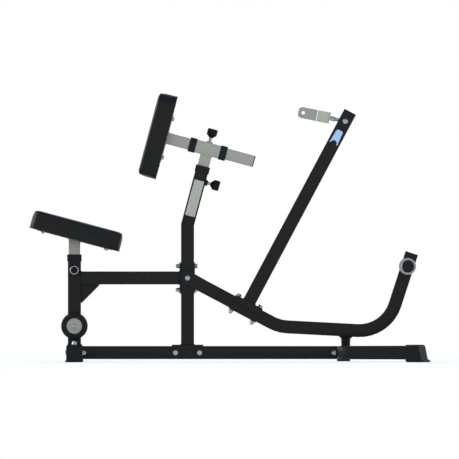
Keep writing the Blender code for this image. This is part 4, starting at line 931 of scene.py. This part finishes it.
def grey_welds():
    """The beads of the riser, of the slide tube's plate and of the seat post's plate."""
    shape = bmesh.new()
    low = moved(UPPER, 0, 0, SLEEVE_RISE - HALF)
    weld_loop(shape, low, INNER_TUBE, INNER_TUBE, INNER_CORNER)
    weld_ring(shape, moved(SLIDE, 0, 0, HALF))
    piece("riser_welds", shape, "riser", "grey_paint", sharp=WELD_EDGE)
    shape = bmesh.new()
    end = moved(SLIDE, -CHEST_PAD_BACK + GAP + PAD_PLATE, 0, 0)
    place = facing(end.translation, axis_of(SLIDE, "x"))
    weld_loop(shape, place, INNER_TUBE, INNER_TUBE, INNER_CORNER)
    piece("slide_welds", shape, "chest_pad", "grey_paint", sharp=WELD_EDGE)
    shape = bmesh.new()
    end = moved(SEAT_FRAME, POST_WELD_SHIFT, 0, -GAP - PAD_PLATE - POST_WELD_DROP)
    long_side = INNER_TUBE / cos(radians(SEAT_TILT))
    weld_loop(shape, end, long_side, INNER_TUBE, INNER_CORNER)
    piece("post_welds", shape, "seat", "grey_paint", sharp=WELD_EDGE)


def make_gap_plate():
    """A white plate between the swivel block and the clevis, as square as they are, that shows as a
    bright line between them.
    """
    soft = 0.0002
    side = 0.0428
    play = 0.0001
    low = CARRIER_BLOCK_END + play
    high = low + SWIVEL_SPACE - 2 * play
    inner = circle(0.0064)
    edge = rounded(side - 2 * soft, side - 2 * soft, 0.003, 11)
    outer = rounded(side, side, 0.003, 11)
    steps = (
        (inner, low), (edge, low), (outer, low + soft), (outer, high - soft), (edge, high),
        (inner, high),
    )
    shape = stack(bmesh.new(), steps, facing(CARRIER.translation, axis_of(CARRIER, "x")), True)
    piece("white_gap_plate", shape, "handle", "plastic", material=PLAIN_WHITE)


def make_shims():
    """Paint that closes the hairline joints between the bolted plates and the upright."""
    skin = 0.00002
    outline = rounded(0.046, 0.11, 0.002)
    shape = bmesh.new()
    for x in (UPRIGHT_X - HALF - GAP, UPRIGHT_X + HALF):
        place = facing((x, 0, SEAT_BEAM_Z), (1, 0, 0))
        stack(shape, [(outline, skin), (outline, GAP - skin)], place)
    piece("joint_paint", shape, "frame", "frame_paint", material=FINISHES["rubber"])


def label_outline():
    """The label's outline: round corners on top, sides that widen, an arch cut in its foot."""
    outline = []
    for middle, start in ((LABEL_TOP_HALF, 0), (-LABEL_TOP_HALF, 90)):
        for step in range(LABEL_STEPS + 1):
            turn = radians(start + 90 * step / LABEL_STEPS)
            across = LABEL_CORNER * cos(turn)
            outline.append((middle + across, LABEL_HEIGHT + LABEL_CORNER * sin(turn)))
    outline.append((-LABEL_FOOT_HALF, 0.0))
    for step in range(ARCH_STEPS + 1):
        turn = radians(180 - 180 * step / ARCH_STEPS)
        outline.append((LABEL_ARCH[0] * cos(turn), LABEL_ARCH[1] * sin(turn)))
    outline.append((LABEL_FOOT_HALF, 0.0))
    return outline


def make_plates():
    """The bare nameplate on the upright and the bare label on the pull post."""
    stand = moved(UPPER, 0, -HALF, NAMEPLATE_RISE) @ TO_NEAR_SIDE
    outline = rounded(*NAMEPLATE_SIZE, 6)
    bevel = rounded(*NAMEPLATE_BEVEL, 6)
    steps = [(outline, -0.0001), (outline, 0.0004), (bevel, 0.0007)]
    piece("nameplate", stack(bmesh.new(), steps, stand), "frame", material=NAMEPLATE)

    stand = moved(LEVER, POST_PLACE, -HALF, LABEL_RISE) @ TO_NEAR_SIDE
    outline = label_outline()
    steps = [(outline, -0.0001), (outline, 0.00035)]
    piece("post_label", stack(bmesh.new(), steps, stand), "lever", material=LABEL)


def pad_outline(size, inset, steps):
    """A pad's plan outline, drawn in by an inset."""
    corner = max(PAD_CORNER - inset, SMALLEST_CORNER)
    return rounded(size[0] - 2 * inset, size[1] - 2 * inset, corner, steps)


def pad_ring(size, inset, height):
    """One level ring of a pad, drawn in from its plan outline."""
    return [(u, v, height) for u, v in pad_outline(size, inset, 10)]


def baked(made):
    """Keeps what an object's modifiers make of it as its own mesh."""
    bpy.context.view_layer.update()
    graph = bpy.context.evaluated_depsgraph_get()
    mesh = bpy.data.meshes.new_from_object(made.evaluated_get(graph))
    made.modifiers.clear()
    made.data = mesh


def swell(made):
    """Blows a pad up a little as cloth, with its hem held and each move kept within a cap."""
    group = made.vertex_groups.new(name="held")
    held = [vert.index for vert in made.data.vertices if vert.co.z < SWELL_START]
    group.add(held, 1.0, "REPLACE")
    starts = [vert.co.copy() for vert in made.data.vertices]
    cloth = made.modifiers.new("swell", "CLOTH")
    cloth.settings.vertex_group_mass = "held"
    cloth.settings.use_pressure = True
    cloth.settings.uniform_pressure_force = SWELL_PRESSURE
    cloth.settings.effector_weights.gravity = 0.0
    cloth.collision_settings.use_collision = False
    scene = bpy.context.scene
    for step in range(1, SWELL_FRAMES + 1):
        scene.frame_set(step)
    graph = bpy.context.evaluated_depsgraph_get()
    swollen = made.evaluated_get(graph).to_mesh()
    moves = [vert.co - start for vert, start in zip(swollen.vertices, starts)]
    made.modifiers.clear()
    for vert, start, move in zip(made.data.vertices, starts, moves):
        share = (start.z - SWELL_START) / (SWELL_FULL - SWELL_START)
        limit = PAD_SWELL * min(max(share, 0.0), 1.0)
        if move.length > limit:
            move = move * (limit / move.length)
        vert.co = start + move
    scene.frame_set(1)


def pad_blank(size):
    """A pad before it swells: a board's pocket, sides that lean in, and a rounded top edge."""
    blank_top = PAD_THICKNESS - PAD_SWELL
    pocket = BOARD_INSET + POCKET_SLACK
    rings = [
        pad_ring(size, min(size) / 2 - POCKET_MIDDLE, POCKET_DEPTH),
        pad_ring(size, pocket, POCKET_DEPTH),
        pad_ring(size, pocket, 0.0),
        pad_ring(size, 0.0, 0.0),
        pad_ring(size, 0.0, SWELL_START),
        pad_ring(size, PAD_SWELL, SWELL_FULL),
    ]
    for step in range(TOP_STEPS + 1):
        turn = radians(90 * step / TOP_STEPS)
        inset = PAD_SWELL + TOP_EDGE * (1 - cos(turn))
        rings.append(pad_ring(size, inset, blank_top - TOP_EDGE * (1 - sin(turn))))
    for share in TOP_SHARES:
        inset = TOP_EDGE + (min(size) / 2 - TOP_EDGE) * share
        rings.append(pad_ring(size, inset, blank_top + TOP_RISE * share))
    return loft(bmesh.new(), rings, HERE)


def make_pad(name, node_name, size, matrix, body):
    """A stuffed pad: its blank in even cells, eased, blown up as cloth and smoothed."""
    made = object_of(name, pad_blank(size))
    remesh = made.modifiers.new("remesh", "REMESH")
    remesh.mode = "VOXEL"
    remesh.voxel_size = PAD_VOXEL
    baked(made)
    group = made.vertex_groups.new(name="above_hem")
    above = [vert.index for vert in made.data.vertices if vert.co.z > SWELL_START]
    group.add(above, 1.0, "REPLACE")
    ease = made.modifiers.new("ease", "SMOOTH")
    ease.iterations = PAD_EASE
    ease.vertex_group = "above_hem"
    baked(made)
    made.vertex_groups.clear()
    swell(made)
    smooth = made.modifiers.new("smooth", "SUBSURF")
    smooth.levels = 1
    smooth.render_levels = 1
    baked(made)
    made.data.transform(matrix)
    made.data.materials.append(FINISHES["vinyl"])
    made.data.shade_smooth()
    settle(made, body, (node_name,))


def make_pad_bolts(name, matrix, body, along):
    """The four bolts that hold a board to its plate."""
    face = -GAP - PAD_PLATE - GAP
    under = face - PAD_WASHER
    shape = bmesh.new()
    for u in (-along, along):
        for v in (-PAD_BOLT_SIDE, PAD_BOLT_SIDE):
            spot = moved(matrix, u, v, 0)
            washer(shape, spot, under, face, PAD_SHANK + BORE_PLAY, PAD_WASHER_RADIUS)
            hex_head(shape, spot, under, -1.0, PAD_HEX_RADIUS, PAD_HEX_HEIGHT)
            turned(shape, [(PAD_SHANK, face - SHANK_LAP), (PAD_SHANK, SHANK_LAP)], spot)
    piece(name + "_bolts", shape, body, "steel")


def make_hem(name, size, matrix, body):
    """The vinyl turned in under the board, uneven along its inner edge."""
    rings = []
    for inset, height in HEM:
        outline = pad_outline(size, inset, 24)
        path = even([(u, v, 0.0) for u, v in outline], True, HEM_STEP)
        ring = []
        for index in range(HEM_POINTS):
            spot = path[round(index * len(path) / HEM_POINTS) % len(path)]
            wave = FOLD_DEPTH * sin(index * FOLD_TURN) * sin(index * FOLD_DRIFT)
            pull = 1.0 + (wave / FOLD_REACH if inset > FOLD_INSET else 0.0)
            ring.append((spot.x * pull, spot.y * pull, height))
        rings.append(ring)
    shape = loft(bmesh.new(), rings, matrix, True)
    piece(name + "_hem", shape, body, "vinyl", sharp=SOFT_EDGE)


def make_staples(name, size, matrix, body):
    """The staples that hold the hem to the board."""
    outline = pad_outline(size, STAPLE_INSET, 12)
    path = even([(u, v, 0.0) for u, v in outline], True, STAPLE_STEP)
    staple = rounded(STAPLE_LENGTH, STAPLE_WIDTH, STAPLE_CORNER, 2)
    shape = bmesh.new()
    for index in range(0, len(path), len(path) // STAPLE_COUNT):
        spot = path[index]
        along = (path[(index + 1) % len(path)] - path[index - 1]).normalized()
        turn = Matrix.Rotation(atan2(along.y, along.x), 4, "Z")
        place = moved(matrix, spot.x, spot.y, -STAPLE_DEPTH) @ turn
        stack(shape, [(staple, -0.0004), (staple, 0.0006)], place)
    piece(name + "_staples", shape, body, "steel")


def make_board(name, node_name, size, matrix, body, along):
    """A pad's plywood board with its bolts, its edge roll and hem of vinyl, and the staples."""
    full = pad_outline(size, BOARD_INSET, 8)
    bevel = pad_outline(size, BOARD_INSET + BOARD_BEVEL, 8)
    steps = [(bevel, 0.0), (full, BOARD_BEVEL), (full, BOARD_THICKNESS)]
    piece(name + "_board", stack(bmesh.new(), steps, matrix), body, "board", (node_name,))
    make_pad_bolts(name, matrix, body, along)
    rings = [pad_ring(size, inset, height) for inset, height in EDGE_ROLL]
    shape = loft(bmesh.new(), rings, matrix, True)
    piece(name + "_edge", shape, body, "vinyl", sharp=SOFT_EDGE)
    make_hem(name, size, matrix, body)
    make_staples(name, size, matrix, body)


def smoothing():
    """A modifier's node group that shades shallow bends smooth and keeps crisp edges."""
    group = bpy.data.node_groups.new("smooth_bends", "GeometryNodeTree")
    for way in ("INPUT", "OUTPUT"):
        group.interface.new_socket("Geometry", in_out=way, socket_type="NodeSocketGeometry")
    link = group.links.new
    start = node(group, "NodeGroupInput")
    joined = node(group, "GeometryNodeMergeByDistance", Distance=SAME_SPOT)
    faces = node(group, "GeometryNodeSetShadeSmooth", domain="FACE")
    faces.inputs["Shade Smooth"].default_value = True
    bend = node(group, "GeometryNodeInputMeshEdgeAngle")
    shallow = node(group, "FunctionNodeCompare", data_type="FLOAT", operation="LESS_THAN")
    shallow.inputs[1].default_value = radians(SHALLOW_BEND)
    link(bend.outputs["Unsigned Angle"], shallow.inputs[0])
    edges = node(group, "GeometryNodeSetShadeSmooth", domain="EDGE")
    link(shallow.outputs[0], edges.inputs["Shade Smooth"])
    end = node(group, "NodeGroupOutput")
    link(start.outputs[0], joined.inputs["Geometry"])
    link(joined.outputs[0], faces.inputs["Geometry"])
    link(faces.outputs[0], edges.inputs["Geometry"])
    link(edges.outputs[0], end.inputs[0])
    return group


def dress_nodes():
    """Gives every CAD node the finish of its slot, and smooth shading over shallow bends."""
    smooth = smoothing()
    for row in frame["record"]["subparts"]:
        solid = frame["nodes"][row["node"]]
        solid.modifiers.new("smooth_bends", "NODES").node_group = smooth
        chosen = FINISHES[row["material_slot"]]
        if row["node"] == "swivel_clevis":
            chosen = CLEVIS_STEEL
        solid.data.materials.clear()
        solid.data.materials.append(chosen)


def seen(tree, kinds):
    """Which light sees the white studio itself: rays of the kinds named."""
    rays = node(tree, "ShaderNodeLightPath")
    result = rays.outputs[kinds[0]]
    for kind in kinds[1:]:
        most = node(tree, "ShaderNodeMath", operation="MAXIMUM")
        tree.links.new(result, most.inputs[0])
        tree.links.new(rays.outputs[kind], most.inputs[1])
        result = most.outputs[0]
    return result


def make_floor():
    """A pale floor that keeps shadows and fades into the white backdrop."""
    disc = circle(FLOOR_RADIUS, FINE_ROUND)
    floor = object_of("floor", stack(bmesh.new(), [(disc, -FLOOR_DEPTH), (disc, 0.0)], HERE))
    made = bpy.data.materials.new("pale_floor")
    made.use_nodes = True
    tree = made.node_tree
    shader = tree.nodes["Principled BSDF"]
    shader.inputs["Base Color"].default_value = FLOOR_SHADE
    shader.inputs["Roughness"].default_value = FLOOR_ROUGH
    shader.inputs["Specular IOR Level"].default_value = FLOOR_GLOSS
    lift = node(tree, "ShaderNodeMath", operation="MULTIPLY")
    lift.inputs[1].default_value = FLOOR_LIFT
    tree.links.new(seen(tree, ("Is Camera Ray", "Is Glossy Ray")), lift.inputs[0])
    shader.inputs["Emission Color"].default_value = WHITE
    tree.links.new(lift.outputs[0], shader.inputs["Emission Strength"])
    floor.data.materials.append(made)


def sky(tree, height, stops):
    """A colour that goes from one stop to the other with the height of the sky."""
    ramp = node(tree, "ShaderNodeValToRGB")
    for index, (position, colour) in enumerate(stops):
        ramp.color_ramp.elements[index].position = position
        ramp.color_ramp.elements[index].color = colour
    tree.links.new(height, ramp.inputs["Fac"])
    return ramp.outputs["Color"]


def make_world():
    """Soft light from all round, with a white backdrop that turns pale blue overhead."""
    world = bpy.data.worlds.new("studio")
    bpy.context.scene.world = world
    world.use_nodes = True
    tree = world.node_tree
    tree.nodes.clear()
    link = tree.links.new
    place = node(tree, "ShaderNodeTexCoord")
    split = node(tree, "ShaderNodeSeparateXYZ")
    link(place.outputs["Generated"], split.inputs["Vector"])
    backdrop = node(tree, "ShaderNodeBackground")
    link(sky(tree, split.outputs["Z"], BACKDROP), backdrop.inputs["Color"])
    span = {"From Max": -1.0, "To Min": FILL_BACK, "To Max": FILL_FRONT}
    front = node(tree, "ShaderNodeMapRange", **span)
    link(split.outputs["Y"], front.inputs["Value"])
    fill = node(tree, "ShaderNodeBackground")
    link(sky(tree, split.outputs["Z"], FILL), fill.inputs["Color"])
    link(front.outputs["Result"], fill.inputs["Strength"])
    mix = node(tree, "ShaderNodeMixShader")
    link(seen(tree, ("Is Camera Ray", "Is Glossy Ray", "Is Transmission Ray")), mix.inputs["Fac"])
    link(fill.outputs[0], mix.inputs[1])
    link(backdrop.outputs[0], mix.inputs[2])
    out = node(tree, "ShaderNodeOutputWorld")
    link(mix.outputs[0], out.inputs["Surface"])


def make_lamp(name, strength, azimuth, elevation, spread, colour, glare):
    """A soft far lamp from a direction round the machine, shown by gloss or not."""
    lamp = bpy.data.lights.new(name, "SUN")
    lamp.energy = strength
    lamp.angle = radians(spread)
    lamp.color = colour
    made = placed(name, lamp)
    turn = radians(azimuth)
    rise = radians(elevation)
    level = cos(rise)
    source = Vector((sin(turn) * level, -cos(turn) * level, sin(rise)))
    made.visible_glossy = glare
    made.rotation_mode = "QUATERNION"
    made.rotation_quaternion = (-source).to_track_quat("-Z", "Y")


def make_camera():
    """A very long lens square to the near side, which is how the photograph sees it."""
    data = bpy.data.cameras.new("camera")
    data.sensor_width = SENSOR
    data.lens = SENSOR * CAMERA_DISTANCE / PHOTO_WIDTH
    data.clip_end = CAMERA_CLIP
    camera = placed("camera", data)
    camera.location = (CAMERA_X, -CAMERA_DISTANCE, CAMERA_Z)
    camera.rotation_euler = (radians(90), 0.0, 0.0)
    bpy.context.scene.camera = camera


dress_nodes()
make_bolts()
make_wheels()
make_sleeves()
make_bumper()
make_stop_ring()
make_foot()
make_pull_pin("seat_pin", (0, -1, 0), "seat_pull_pin")
make_pull_pin("riser_pin", axis_of(UPPER, "x"), "riser_pull_pin")
make_pull_pin("slide_pin", axis_of(UPPER, "z"), "slide_pull_pin")
frame_welds()
lever_welds()
grey_welds()
make_gap_plate()
make_shims()
make_plates()
make_pad("seat_pad", "seat_cushion", SEAT_PAD, SEAT_FRAME, "seat")
make_board("seat_pad", "seat_board", SEAT_PAD, SEAT_FRAME, "seat", SEAT_BOLT_PLACE)
make_pad("chest_rest", "chest_cushion", CHEST_PAD, CHEST_FRAME, "chest_pad")
make_board("chest_rest", "chest_board", CHEST_PAD, CHEST_FRAME, "chest_pad", CHEST_BOLT_PLACE)
make_floor()
make_world()
for lamp_row in LAMPS:
    make_lamp(*lamp_row)
make_camera()
bpy.context.scene.view_settings.view_transform = "Standard"
